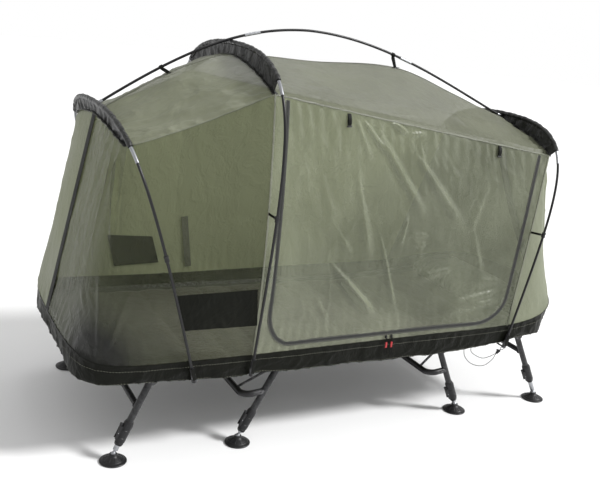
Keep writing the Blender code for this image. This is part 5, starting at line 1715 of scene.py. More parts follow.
@dataclass
class Door:
    """Door of the tent and its zip."""

    rows: int = 160
    tape_width: float = 0.0085
    tooth_pitch: float = 0.0048
    gap: float = 0.0004

    def cloth(self) -> Piece:
        """Build the door's sheet, which turns on its upper edge.

        Returns:
            The door's cloth.
        """
        grid = [[DOOR_SHAPE.place((p, t)) for t in shares(q, DOOR_SHAPE.top, self.rows)]
                for p, q in DOOR_SHAPE.lower()]
        cloth = one_sheet("door_cloth", grid, Finishes.DOOR, True)
        ride(cloth, "door", "door", slot="mesh")
        return cloth

    def zip(self) -> None:
        """Build both halves of the zip's tape, its teeth and its stitching."""
        line = [DOOR_SHAPE.place(pq) for pq in DOOR_SHAPE.outline(DOOR_SHAPE.top)]
        out = DRAPE.near_out
        outs = [out] * len(line)
        sides = [out.cross(heading(line, i)).normalized() for i in range(len(line))]
        for word, body, way in (("door", "door", 1.0), ("wall", "bivvy", -1.0)):
            shift = way * (self.tape_width / 2 + self.gap)
            edge = [p + side * -shift for p, side in zip(line, sides)]
            seam = [p + side * (-way * (self.tape_width * 0.82)) for p, side in zip(line, sides)]
            ride(ribbon(edge, outs, self.tape_width, 0.0009, Finishes.ZIP, "zip_tape_" + word, 0.0002), body)
            ride(stitches(seam, outs, "zip_stitches_" + word, pitch=0.008, lift=0.0014), body)
            teeth = [p + (e - p) * 0.28 for p, e in zip(line, edge)]
            ride(stitches(teeth, outs, "zip_teeth_" + word, self.tooth_pitch, 0.0028, 0.0011, 0.0008,
                          Finishes.PLASTIC), body)

    def build(self) -> None:
        """Build and dress the door."""
        self.cloth()
        self.zip()


@dataclass
class Tub:
    """Dark skirt from the foot of the walls down round the rails."""

    out: float = 0.030
    bottom_out: float = 0.022
    bottom: float = 0.0185
    deeper: float = 0.0120
    lip_in: float = 0.002
    drop: float = 0.0026
    tube: float = 0.0125
    rows: int = 18
    column_width: float = 0.0085

    def column(self, s: float) -> list[Vector]:
        """Return the section of the tub below wall column s, near side.

        Args:
            s: The column.

        Returns:
            The points up the tub's side.
        """
        low = SHAPE.edges(s)[0]
        top = at(low.x, -low.y, low.z - self.drop)
        x1, y1 = frame_point(low.x, -low.y, self.out)
        x2, y2 = frame_point(low.x, -low.y, self.bottom_out)
        x3, y3 = frame_point(low.x, -low.y, -self.lip_in)
        sag = self.bottom + self.deeper * smooth((low.x - 0.15) / 0.4) * smooth((1.95 - low.x) / 0.3)
        return [top, on_bed(x1, y1, RAIL_Z - 0.004), on_bed(x2, y2, RAIL_Z - sag),
                on_bed(x3, y3, RAIL_Z - self.tube - 0.0023)]

    def around(self) -> list[Pair]:
        """Return column and side all the way round, even along the cloth.

        Returns:
            Column and side, in order round the tub.
        """
        marks = []
        for i in range(SHAPE.last):
            a, b = SHAPE.edges(i)[0], SHAPE.edges(i + 1)[0]
            count = max(6, round((b - a).length / self.column_width))
            marks += [i + k / count for k in range(count)]
        marks.append(float(SHAPE.last))
        return [(s, NEAR) for s in marks] + [(s, FAR) for s in reversed(marks[1:-1])]

    def lift(self, run: float, t: float) -> tuple[float, float]:
        """Return how far the skirt's cloth is moved at a place on it.

        Args:
            run: Distance round the skirt.
            t: Share of the way down it.

        Returns:
            How far outwards and how far up.
        """
        where = Vector((run, t * 0.10, 0.0))
        body = math.sin(math.pi * min(t / 0.75, 1.0)) ** 0.6
        pucker = 0.0022 * math.sin(run / 0.0066 + 3.5 * ripple(where, 9.0)) * math.exp(-t / 0.16)
        broad = 0.0085 * ripple(where, 8.0, 6.0) + 0.0035 * ripple(where, 19.0, 2.0)
        slant = abs(ripple(Vector((run + t * 0.07, t * 0.13, 0.0)), 15.0, 9.0))
        crease = 0.0065 * (math.exp(-slant / 0.09) - 0.35)
        under = 1.0 - smooth((t - 0.74) / 0.2)
        return ((pucker + (broad + crease) * body) * (smooth(t / 0.05) * under),
                0.0045 * ripple(where, 10.0, 15.0) * body * smooth(t / 0.5))

    def grid(self) -> Rows:
        """Return the tub's grid, with its waves and puckers.

        Returns:
            The tub's rows.
        """
        rows = [[spline(section, 3.0 * k / self.rows) for k in range(self.rows + 1)]
                for section in ([mirror_y(p, side) for p in self.column(s)] for s, side in self.around())]
        moved = []
        run = 0.0
        for i, line in enumerate(rows):
            if i:
                run += (line[0] - rows[i - 1][0]).length
            ahead = rows[(i + 1) % len(rows)]
            behind = rows[i - 1]
            new = []
            for j, p in enumerate(line):
                down = line[min(j + 1, self.rows)] - line[max(j - 1, 0)]
                out = down.cross(ahead[j] - behind[j]).normalized()
                outwards, up = self.lift(run, j / self.rows)
                new.append(p + out * outwards + Vector((0.0, 0.0, up)))
            moved.append(new)
        return moved

    def build(self) -> None:
        """Build and dress the tub with its hem stitching and the binding at its top."""
        rows = self.grid()
        tub = one_sheet("tub_cloth", [*rows, rows[0]], Finishes.SKIRT, merge=0.0004)
        fix(tub, "tub", slot="dark")

        def outs(level: int) -> list[Vector]:
            """Return the outward directions all round at one level of the skirt."""
            return [(row[level + 1] - row[level - 1]).cross(rows[(i + 1) % len(rows)][level] - rows[i - 1][level])
                    .normalized() for i, row in enumerate(rows)]

        top = [row[0] + Vector((0.0, 0.0, 0.001)) for row in rows]
        fix(ribbon(top, outs(2), 0.008, 0.0010, Finishes.SKIRT, "hem_binding", 0.0006, 0.10, closed=True))
        fix(stitches([row[2] for row in rows], outs(2), "hem_stitches_top", 0.010, 0.0055, 0.0006, 0.0012))
        low = round(self.rows * 0.58)
        fix(stitches([row[low] for row in rows], outs(low), "hem_stitches_low", 0.011, 0.006, 0.0007, 0.0006))


@dataclass
class Fin:
    """Gathered black fin between a hoop and the roof, with the sleeve its hoop runs through."""

    number: int
    sleeve: float = 0.0088
    steps: int = 170
    rows: int = 9

    def line(self) -> list[tuple[Vector, Vector, Vector]]:
        """Return the pole's place, the roof's place and the pole's direction along the fin.

        Returns:
            The pole's place, the roof's place and the pole's direction, at every step.
        """
        hoop = SHAPE.hoops[self.number - 1]
        column = SHAPE.corners[self.number - 1]
        made = []
        for k in range(-self.steps, self.steps + 1):
            share = abs(k) / self.steps
            t = 1.0 if k == 0 else SHAPE.hoop_at(hoop, lambda p: -abs(p.y), -hoop["fin"] * share, 0.25, 1.0)
            t = t if k <= 0 else 2.0 - t
            pole = SHAPE.hoop_point(hoop, t)
            along = (SHAPE.hoop_point(hoop, t + 0.004) - SHAPE.hoop_point(hoop, t - 0.004)).normalized()
            made.append((pole, self.seam(column, k / self.steps), along))
        return made

    def seam(self, column: int, share: float) -> Vector:
        """Return the fin's place on the roof, which at both ends of the tent is the wall's upper edge.

        Args:
            column: The hoop's column.
            share: The share across the roof.

        Returns:
            The seam's place.
        """
        if self.number == 2:
            return SHAPE.roof_point(column, share)
        wanted = SHAPE.edges(column)[1].y * abs(share)
        middle = 0.0 if self.number == 1 else float(SHAPE.last)
        ends = crossing(lambda s: SHAPE.edges(s)[1].y <= wanted, float(column), middle)
        p = SHAPE.edges(sum(ends) / 2)[1]
        return at(p.x, math.copysign(wanted, share), p.z)

    def build(self) -> None:
        """Build and dress the fin."""
        line = self.line()
        web = []
        ring_rows = []
        edge = []
        outs = []
        run = 0.0
        before = None
        for pole, cloth, along in line:
            if before is not None:
                run += (pole - before).length
            before = pole
            up = pole - cloth
            up = (up - along * up.dot(along)).normalized()
            side = along.cross(up)
            loose = ripple(pole, 9.0, self.number)
            row = []
            for j in range(self.rows + 1):
                t = j / self.rows
                p = cloth.lerp(pole - up * self.sleeve * 0.55, t)
                fold = math.sin(run / 0.0058 + 4.5 * loose + 0.8 * math.sin(t * 3.0 + run * 23.0))
                second = math.sin(run / 0.0127 + 3.3 * loose + t * 1.6)
                size = (0.0042 - 0.0030 * t) * (0.55 + 0.45 * ripple(pole, 17.0, 3.0))
                height = fold * size + second * 0.0034 * (1.0 - 0.5 * t)
                row.append(p + side * (height * smooth((t + 0.02) / 0.22)))
            web.append(row)
            ring = []
            wrinkle = 0.0005 * math.sin(run / 0.0060 + 3.0 * loose) + 0.0005 * math.sin(run / 0.0135)
            for k in range(17):
                a = math.tau * k / 16
                r = self.sleeve + wrinkle * (1.0 + 0.4 * math.sin(a * 2.0))
                ring.append(pole + side * (r * math.cos(a)) + up * (r * math.sin(a)))
            ring_rows.append(ring)
            edge.append(cloth)
            outs.append(up)
        sheet = Patchwork()
        sheet.add(web, Finishes.GATHER)
        sheet.add(ring_rows, Finishes.GATHER, flip=True)
        cloth = sheet.make("gathered_fin_%d" % self.number, 0.00002)
        fix(cloth, "fin_%d" % self.number, slot="gathered")
        fix(ribbon(edge, outs, 0.020, 0.0016, Finishes.GATHER, "fin_edge_%d" % self.number, 0.0009, 0.14))
        for word, shift in (("a", 0.008), ("b", -0.008)):
            rail = [p + heading(edge, i).cross(outs[i]).normalized() * shift for i, p in enumerate(edge)]
            fix(stitches(rail, outs, "fin_stitches_%d%s" % (self.number, word), 0.008, 0.0045, 0.0005, 0.0026))


# Poles and their fittings


@dataclass
class Poles:
    """Three hoops and the ridge pole with ferrules, tips and clips."""

    radius: float = 0.005
    ferrule: float = 0.0061
    cup: float = 0.0078
    tip: float = 0.0064
    ferrule_length: float = 0.056
    clip_heights: Triple = (0.775, 0.905, 0.800)
    ridge_ferrules: tuple[tuple[str, float, float], ...] = (("foot", 0.680, 0.757), ("head", 1.420, 1.475))

    def clip(self, number: int, word: str, side: float) -> None:
        """Build a moulded clip round the pole with its webbing tab to the wall.

        Args:
            number: Number of the hoop, from 1.
            word: Name of the side.
            side: NEAR or FAR.
        """
        hoop = SHAPE.hoops[number - 1]
        t = SHAPE.hoop_at(hoop, lambda p: p.z, self.clip_heights[number - 1], 0.0, 0.6)
        here = mirror_y(SHAPE.hoop_point(hoop, t), side)
        ahead = mirror_y(SHAPE.hoop_point(hoop, t + 0.01), side)
        along = (ahead - here).normalized()
        if number == 1:
            spots = [SHAPE.wall_point(3 + k * 0.1, (here.z - 0.39) / 0.75) for k in range(26)]
            wall = min(spots, key=lambda p: (mirror_y(p, side) - here).length)
        else:
            column = SHAPE.corners[number - 1]
            spots = [SHAPE.wall_point(column, k / 60) for k in range(61)]
            wall = min(spots, key=lambda p: abs(p.z - here.z))
        wall = mirror_y(wall, side)
        toward = (wall - here).normalized()
        place = Matrix.Translation(here) @ aim(along)
        body = lathe(((0.0065, -0.011), (0.0082, -0.0098), (0.0082, -0.004), (0.0071, -0.0032), (0.0071, 0.0032),
                      (0.0082, 0.004), (0.0082, 0.0098), (0.0065, 0.011)), Finishes.PLASTIC, place, 24, "clip")
        hook = bar(here + toward * 0.005, here + toward * 0.016, 0.0034, Finishes.PLASTIC, 14)
        knob = bar(here + toward * 0.015, here + toward * 0.020, 0.0050, Finishes.PLASTIC, 16)
        fix(join([body, hook, knob], "clip_%d_%s" % (number, word)), slot="plastic")
        start = here + toward * 0.014
        points = [start.lerp(wall - toward * 0.001, t) for t in shares(0.0, 1.0, 6)]
        fix(ribbon(points, [along.cross(toward).normalized()] * len(points), 0.009, 0.0012, Finishes.BLACK,
                   "clip_tab_%d_%s" % (number, word), -0.0006), slot="gathered")

    def ferrule_at(self, hoop: dict[str, float], t: float, side: float, name: str) -> Piece:
        """Build a silver sleeve on a hoop below a place on it.

        Args:
            hoop: The hoop's numbers.
            t: The sleeve's upper end, as hoop_point counts it.
            side: NEAR or FAR.
            name: The sleeve's name.

        Returns:
            The sleeve.
        """
        points = [SHAPE.hoop_point(hoop, t)]
        done = 0.0
        while done < self.ferrule_length:
            t -= 0.004
            points.append(SHAPE.hoop_point(hoop, t))
            done += (points[-1] - points[-2]).length
        return pipe([mirror_y(p, side) for p in points], self.ferrule, Finishes.ALLOY, name, 6)

    def build(self) -> None:
        """Build and dress every pole."""
        for number, hoop in enumerate(SHAPE.hoops, 1):
            route = [SHAPE.hoop_point(hoop, t) for t in shares(0.0, 2.0, 150)]
            fix(pipe(route, self.radius, Finishes.POLE, "hoop_pole_%d" % number, 5), "hoop_%d" % number,
                slot="fibre")
            fin_end = SHAPE.hoop_at(hoop, lambda p: -abs(p.y), -hoop["fin"], 0.25, 1.0)
            for word, side in SIDES.items():
                self.clip(number, word, side)
                fix(self.ferrule_at(hoop, fin_end - 0.004, side, "ferrule_%d_%s" % (number, word)), slot="alloy")
                tip = [mirror_y(SHAPE.hoop_point(hoop, k * 0.005), side) for k in range(5)]
                fix(pipe(tip, self.cup, Finishes.PLASTIC, "hoop_cup_%d_%s" % (number, word), 6), slot="plastic")
                strap = [p + Vector((0.0, side * 0.0082, 0.0)) for p in tip]
                fix(ribbon(strap, [Vector((0.0, side, 0.0))] * len(strap), 0.013, 0.0014, Finishes.BLACK,
                           "hoop_strap_%d_%s" % (number, word)), slot="gathered")
        points = [SHAPE.ridge_point(t) for t in shares(0.0, 2.0, 120)]
        fix(pipe(points, self.radius, Finishes.POLE, "ridge_pole_tube", 5), "ridge_pole", slot="fibre")
        for word, start, end in self.ridge_ferrules:
            line = [SHAPE.ridge_point(t) for t in shares(start, end, 8)]
            fix(pipe(line, self.ferrule, Finishes.ALLOY, "ridge_ferrule_" + word, 6), slot="alloy")
        for word, t, way in (("foot", 0.0, 1.0), ("head", 2.0, -1.0)):
            start = SHAPE.ridge_point(t)
            along = (SHAPE.ridge_point(t + way * 0.02) - start).normalized()
            fix(bar(start - along * 0.001, start + along * 0.030, self.tip, Finishes.ALLOY, 24, 0.0012,
                    "ridge_tip_" + word), slot="alloy")


@dataclass
class Hangers:
    """Webbing straps that hang the roof from the ridge pole."""

    stations: tuple[Pair, ...] = ((0.383, 0.413), (1.370, 1.388))
    width: float = 0.0125
    reach: float = 0.0064

    def build(self) -> None:
        """Build and dress the two hangers with their loops."""
        for number, (on_pole, on_roof) in enumerate(self.stations, 1):
            low, _ = crossing(lambda t: SHAPE.ridge_point(t).x + LENGTH / 2 > on_pole, 0.0, 2.0, 40)
            top = SHAPE.ridge_point(low)
            along = (SHAPE.ridge_point(low + 0.01) - top).normalized()
            foot = at(on_roof, 0.0, SHAPE.ridge_z(on_roof)) + Vector((0.0, 0.0, 0.001))
            down = (foot - top).normalized()
            down = (down - along * down.dot(along)).normalized()
            side = along.cross(down)
            outs = [side * math.cos(a) - down * math.sin(a)
                    for a in (math.radians(-60.0 + 300.0 * k / 24) for k in range(25))]
            turn = [top + out * self.reach for out in outs]
            points = [foot.lerp(turn[0], k / 6) for k in range(6)] + turn
            points += [turn[-1].lerp(foot, k / 6) for k in range(1, 7)]
            outs = [side] * 6 + outs + [-side] * 6
            fix(ribbon(points, outs, self.width, 0.0014, Finishes.BLACK, "hanger_strap_%d" % number, 0.0),
                "ridge_hanger_%d" % number, slot="gathered")
            fix(slab(foot + Vector((0.0, 0.0, 0.0012)), (0.030, 0.024, 0.0016), Finishes.BLACK,
                     name="hanger_patch_%d" % number, bevel=0.0005), slot="gathered")


# The bed


@dataclass
class Bed:
    """Deck, mattress and pillow of the bedchair."""

    deck_sag: float = 0.0165
    deck_in: float = 0.0137
    lift: float = 0.0006
    mattress_margin: float = 0.047
    mattress_height: float = 0.038
    mattress_edge: float = 0.014
    crown: float = 0.060
    channel: float = 0.135
    dip: float = 0.011
    pillow_size: Triple = (0.22, 0.62, 0.125)
    pillow_x: float = 1.925
    pillow_tilt: float = -14.0
    pillow_swell: float = 0.0045
    bag_share: Triple = (0.97, 0.985, 0.90)
    bag_grain: float = 0.006
    swell_frames: int = 18
    quilt_steps: tuple[int, int] = (250, 60)
    seam_share: float = 0.97
    piping: float = 0.0026

    def half_width(self, x: float, inset: float) -> float:
        """Return half the width of the bed's outline at a station, drawn in by inset.

        Args:
            x: Station along the bed.
            inset: Distance in from the rail.

        Returns:
            Half the width there.
        """
        radius = CORNER_R - inset
        edge = RAIL_Y - inset
        over = max(FRAME_FOOT_X + CORNER_R - x, x - (FRAME_HEAD_X - CORNER_R), 0.0)
        if radius <= 0.0 or over <= 0.0:
            return edge
        return edge - radius + math.sqrt(max(radius * radius - over * over, 0.0))

    def deck_height(self, x: float, y: float) -> float:
        """Return the height of the deck's upper side on the flat bed."""
        rise = smooth(1.0 - (frame_inset(x, y) - 0.0125) / 0.0175)
        return RAIL_Z - self.deck_sag * (1.0 - rise)

    def top(self, x: float, y: float) -> float:
        """Return the height of the mattress above its flat underside.

        Args:
            x: Station along the bed.
            y: Side distance.

        Returns:
            The quilt's height over its base.
        """
        depth = max(frame_inset(x, y) - self.mattress_margin, 0.0)
        rise = math.sin(min(depth / self.crown, 1.0) * math.pi / 2)
        crown = self.mattress_edge + (self.mattress_height - self.mattress_edge) * rise
        phase = (x - FRAME_FOOT_X) / self.channel
        seam = 1.0 - abs(math.sin(math.pi * phase)) ** 0.42
        pucker = 0.0016 * math.sin(y / 0.0075 + 3.0 * ripple(Vector((x, y, 0.0)), 8.0)) * seam ** 0.7
        soft = 0.0022 * ripple(Vector((x, y, 0.0)), 9.0, 4.0) * rise
        dip = self.dip * seam * min(depth / self.crown * 2.0, 1.0)
        return crown - dip + (pucker + soft) * min(depth / 0.02, 1.0)

    def deck(self) -> None:
        """Build the cloth slung between the rails."""
        rows = []
        for k in range(161):
            share = 0.5 - 0.5 * math.cos(math.pi * k / 160)
            x = FRAME_FOOT_X + self.deck_in + (FRAME_HEAD_X - FRAME_FOOT_X - 2 * self.deck_in) * share
            width = self.half_width(x, self.deck_in)
            across = [-math.cos(math.pi * j / 60) * width for j in range(61)]
            rows.append([on_bed(x, y, self.deck_height(x, y) - 0.0004) for y in across])
        deck = one_sheet("bed_deck", rows, Finishes.DECK, True)
        fix(deck, "deck", slot="dark")

    def mattress(self) -> None:
        """Build the quilted mattress as a closed crowned form."""
        base = RAIL_Z - self.deck_sag + self.lift
        inset = self.mattress_margin
        start = FRAME_FOOT_X + inset
        end = FRAME_HEAD_X - inset
        count, across = self.quilt_steps
        points = []
        for x in shares(start, end, count):
            width = self.half_width(x, inset)
            ys = [-math.cos(math.pi * k / across) * width for k in range(across + 1)]
            points += [on_bed(x, y, base + self.top(x, y)) for y in ys]
            points += [on_bed(x, -y, base + 0.0005) for y in ys]
        wide = 2 * (across + 1)
        faces = []
        for i in range(count):
            for k in range(wide):
                n = (k + 1) % wide
                faces.append((i * wide + k, (i + 1) * wide + k, (i + 1) * wide + n, i * wide + n))
        faces += [tuple(range(wide)), tuple(range(count * wide + wide - 1, count * wide - 1, -1))]
        quilt = piece("mattress_quilt", points, faces, [Finishes.QUILT], merge=1e-5)
        shade(quilt, 55.0)
        fix(quilt, "mattress", slot="quilt")
        up = Vector((0.0, 0.0, 1.0))
        for number in range(1, int((end - 0.02 - FRAME_FOOT_X) / self.channel) + 1):
            x = FRAME_FOOT_X + number * self.channel
            width = self.half_width(x, inset) * self.seam_share
            line = [on_bed(x, y, base + self.top(x, y)) for y in shares(-width, width, 60)]
            fix(stitches(line, [up] * len(line), "quilt_seam_%d" % number, 0.009, 0.006, 0.0006, 0.0004))
        loop = [on_bed(x, side * self.half_width(x, inset), base + self.mattress_edge * 0.9)
                for xs, side in ((shares(start, end, 120), NEAR), (shares(end, start, 120), FAR)) for x in xs]
        fix(pipe([*loop, loop[0]], self.piping, Finishes.BLACK, "mattress_piping", 2))

    def resting_height(self, x: float, y: float) -> float:
        """Return the world height of the mattress's upper side in the head section."""
        run = x + LENGTH / 2 - HEAD_HINGE_X
        station = HEAD_HINGE_X + run / math.cos(RECLINE)
        return on_bed(station, y, RAIL_Z - self.deck_sag + self.lift + self.top(station, y)).z

    def pillow(self) -> None:
        """Build the pillow, swollen by cloth simulation from a flat bag."""
        clear_selection()
        bpy.ops.mesh.primitive_cube_add(size=1.0)
        obj = bpy.context.object
        bpy.ops.object.mode_set(mode="EDIT")
        bpy.ops.mesh.select_all(action="SELECT")
        bpy.ops.mesh.subdivide(number_cuts=3)
        bpy.ops.object.mode_set(mode="OBJECT")
        for v in obj.data.vertices:
            ends = (2.0 * abs(v.co.x)) ** 3
            sides = (2.0 * abs(v.co.y)) ** 5
            v.co.z *= (1.0 - 0.55 * ends) * (1.0 - 0.50 * sides)
        obj.data.transform(Matrix.Diagonal([a * b for a, b in zip(self.pillow_size, self.bag_share)] + [1.0]))
        form = obj.modifiers.new("form", "SUBSURF")
        form.levels = form.render_levels = 2
        apply_modifiers(obj)
        obj.data.remesh_voxel_size = self.bag_grain
        take(obj)
        bpy.ops.object.voxel_remesh()
        rest = [v.co.copy() for v in obj.data.vertices]
        bag = obj.modifiers.new("swell", "CLOTH").settings
        bag.quality = 5
        bag.mass = 0.3
        bag.use_pressure = True
        bag.uniform_pressure_force = 3.0
        bag.effector_weights.gravity = 0.0
        bag.tension_stiffness = bag.compression_stiffness = 12.0
        bag.bending_stiffness = 0.4
        scene = bpy.context.scene
        for number in range(1, self.swell_frames + 1):
            scene.frame_set(number)
        apply_modifiers(obj)
        scene.frame_set(1)
        for v, start in zip(obj.data.vertices, rest):
            move = v.co - start
            if move.length > self.pillow_swell:
                v.co = start + move * (self.pillow_swell / move.length)
        for v in obj.data.vertices:
            p = v.co
            to_end = self.pillow_size[0] / 2 - abs(p.x)
            to_side = self.pillow_size[1] / 2 - abs(p.y)
            fold = math.sin(p.y / 0.006 + 3.0 * ripple(p, 9.0)) * math.exp(-to_end / 0.035)
            fold += math.sin(p.x / 0.006 + 3.0 * ripple(p, 9.0, 2.0)) * math.exp(-to_side / 0.035)
            v.co = p + v.normal * (0.0014 * fold + 0.0022 * ripple(p, 9.0, 5.0))
        obj.data.transform(Matrix.Rotation(math.radians(self.pillow_tilt), 4, "Y"))
        place = on_bed(self.pillow_x, 0.0, RAIL_Z)
        fall = min(place.z + v.co.z - self.resting_height(place.x + v.co.x, v.co.y) for v in obj.data.vertices)
        obj.data.transform(Matrix.Translation((place.x, 0.0, place.z - fall + 0.0002)))
        form = obj.modifiers.new("soft", "SUBSURF")
        form.levels = form.render_levels = 1
        apply_modifiers(obj)
        settle(obj, "striped_pillow", Finishes.PILLOW)
        shade(obj, 60.0)
        fix(obj, "pillow", slot="quilt")

    def build(self) -> None:
        """Build and dress the bed's soft pieces."""
        self.deck()
        self.mattress()
        self.pillow()


# Legs


@dataclass(frozen=True)
class LegPair:
    """Places of one pair of legs along the bed."""

    number: int
    pivot: float
    foot: float
    drawn: float
    offset_bar: bool
    bar_at: float


LEG_PAIRS = (
    LegPair(1, 0.285, 0.163, 0.036, False, 0.110),
    LegPair(2, 0.775, 0.633, 0.020, True, 0.112),
    LegPair(3, 1.515, 1.645, 0.026, True, 0.115),
    LegPair(4, 1.925, 2.090, 0.070, False, 0.100),
)


@dataclass
class Legs:
    """Leg pairs with cross bars, lock collars and levers, inner legs and mud feet."""

    leg_y: float = 0.410
    tube: float = 0.0125
    drop: float = 0.033
    inner: float = 0.0095
    inner_length: float = 0.215
    collar: float = 0.0175
    collar_length: float = 0.095
    ball_z: float = 0.030
    ball: float = 0.009
    lever: Triple = (0.005, 0.010, 0.044)
    foot_radius: float = 0.048
    cheek: Triple = (0.0200, 0.0028, 0.050)
    pin: Pair = (0.0092, 0.0017)
    nut: Pair = (0.0142, 0.0078)
    grip: Pair = (0.0042, 0.0008)
    bar_shift: Triple = (-0.085, 0.0, -0.010)
    bar_bend: float = 0.040
    brace: float = 0.005
    brace_drop: float = 0.021
    brace_ys: Triple = (0.340, 0.383, 0.404)

    def across(self, centre: Vector, size: Pair, finish: Finishes, sides: int, bevel: float, name: str) -> Piece:
        """Make a bar across the leg.

        Args:
            centre: Its middle.
            size: Half its length and its radius.
            finish: Its finish.
            sides: Its number of sides.
            bevel: Its edge radius.
            name: Its name.

        Returns:
            The finished bar.
        """
        half, radius = size
        return bar(centre - ACROSS * half, centre + ACROSS * half, radius, finish, sides, bevel, name)

    def axes(self, leg: LegPair, side: float) -> tuple[Vector, Vector, Vector]:
        """Return a leg's pivot, its ball's centre and the direction down it."""
        pivot = on_bed(leg.pivot, side * self.leg_y, RAIL_Z - self.drop)
        ball = at(leg.foot, side * self.leg_y, self.ball_z)
        return pivot, ball, (ball - pivot).normalized()

    def lever_place(self, leg: LegPair, side: float) -> tuple[Vector, Vector, Vector, Vector]:
        """Return the lever's hinge, the way up the leg, the way it faces and the collar's lower end.

        Args:
            leg: The pair's sizes.
            side: NEAR or FAR.

        Returns:
            The hinge, the way up, the way it faces and the collar's lower end.
        """
        _, ball, down = self.axes(leg, side)
        up = -down
        face = ACROSS.cross(up).normalized()
        if face.x > 0:
            face = -face
        bottom = ball + up * leg.drawn
        return (bottom + up * (self.collar_length * 0.45) + face * (self.collar + 0.004), up, face, bottom)

    def collar_piece(self, leg: LegPair, side: float) -> list[Piece]:
        """Build a lock collar with its rings, ribs, cheeks and pin.

        Args:
            leg: The pair's sizes.
            side: NEAR or FAR.

        Returns:
            The collar's pieces.
        """
        hinge, up, face, bottom = self.lever_place(leg, side)
        place = Matrix.Translation(bottom) @ aim(up)
        r = self.collar
        profile = ((0.0125, 0.0), (0.0140, 0.0006), (0.0152, 0.006), (0.0160, 0.0072), (0.0160, 0.0100),
                   (0.0152, 0.0110), (0.0152, 0.0130), (r, 0.0150), (r, 0.030), (r - 0.0012, 0.0312),
                   (r - 0.0012, 0.0330), (r, 0.0342), (r, 0.0600), (r - 0.0012, 0.0612), (r - 0.0012, 0.0630),
                   (r, 0.0642), (r, 0.0850), (r - 0.0008, 0.0880), (0.0150, 0.0920), (0.0138, 0.0948),
                   (0.0128, 0.0950))
        made = [lathe(profile, Finishes.PLASTIC, place, 36, "collar", 28.0)]
        turn = Matrix((face, ACROSS, face.cross(ACROSS))).transposed()
        for way in (-1.0, 1.0):
            centre = bottom + up * 0.0447 + face * 0.0148 + ACROSS * (way * 0.0070)
            made.append(slab(centre, self.cheek, Finishes.PLASTIC, turn, 0.0011, "cheek"))
        made.append(self.across(hinge, self.pin, Finishes.ALLOY, 14, 0.0004, "lever_pin"))
        for k in range(6):
            angle = math.radians(60.0 + 48.0 * k)
            around = face * math.cos(angle) + face.cross(up) * math.sin(angle)
            start = bottom + around * (r - 0.0002)
            made.append(bar(start + up * 0.066, start + up * 0.083, 0.0011, Finishes.PLASTIC, 8, 0.0004, "rib"))
        return made

    def frame_piece(self, leg: LegPair) -> None:
        """Build a pair's outer tubes, cross bar, braces and collars as one piece.

        Args:
            leg: The pair's sizes.
        """
        made = []
        routes = {}
        for side in SIDES.values():
            pivot, _, down = self.axes(leg, side)
            _, up, _, bottom = self.lever_place(leg, side)
            made.append(bar(pivot - down * 0.0085, bottom + up * 0.010, self.tube, Finishes.STEEL, 32, 0.002,
                            "outer"))
            made.append(self.across(pivot, self.nut, Finishes.ALLOY, 6, 0.0008, "nut"))
            made += self.collar_piece(leg, side)
            routes[side] = pivot + down * leg.bar_at
        near, far = routes[NEAR], routes[FAR]
        if leg.offset_bar:
            shift = Vector(self.bar_shift)
            made.append(pipe(rounded([near, near + shift, far + shift, far], self.bar_bend, 12), self.tube,
                             Finishes.STEEL, "bar", 8))
            for side in SIDES.values():
                pivot, _, down = self.axes(leg, side)
                low = routes[side] + shift
                high = pivot + down * self.brace_drop
                ends = [Vector((end.x, side * y, end.z)) for end, y in zip((low, high, high), self.brace_ys)]
                made.append(pipe(rounded(ends, 0.008, 6), self.brace, Finishes.STEEL, "brace", 5))
        else:
            made.append(bar(near, far, self.tube * 0.9, Finishes.STEEL, 28, 0.0008, "bar"))
            for side, centre in routes.items():
                inwards = ACROSS * -side
                made.append(bar(centre + inwards * 0.0115, centre + inwards * 0.0165, 0.0142, Finishes.STEEL, 28,
                                0.0018, "weld"))
        frame_piece = join(made, "legs_%d" % leg.number)
        shade(frame_piece, 38.0)
        ride(frame_piece, "leg_pair_%d" % leg.number, "leg_frame_%d" % leg.number, slot="steel")

    def inner_piece(self, leg: LegPair, side: float, word: str) -> None:
        """Build an inner leg with its click holes and ball.

        Args:
            leg: The pair's sizes.
            side: NEAR or FAR.
            word: The side's word in names.
        """
        _, ball, down = self.axes(leg, side)
        place = Matrix.Translation(ball) @ aim(-down)
        r = self.inner
        profile = [(0.0012, -0.0089)]
        for k in range(1, 10):
            angle = math.radians(-82.0 + k * 13.0)
            profile.append((self.ball * math.cos(angle), self.ball * math.sin(angle)))
        profile += [(0.0052, 0.0082), (0.0050, 0.0120), (0.0062, 0.0140), (r, 0.0160), (r, 0.0225),
                    (r - 0.0010, 0.0232), (r - 0.0010, 0.0245), (r, 0.0252), (r, self.inner_length - 0.0015),
                    (r - 0.0015, self.inner_length)]
        tube = lathe(profile, Finishes.ALLOY, place, 32, "inner_tube_%d_%s" % (leg.number, word), 30.0)
        node = "inner_leg_%d_%s" % (leg.number, word)
        ride(tube, node, node, slot="alloy")

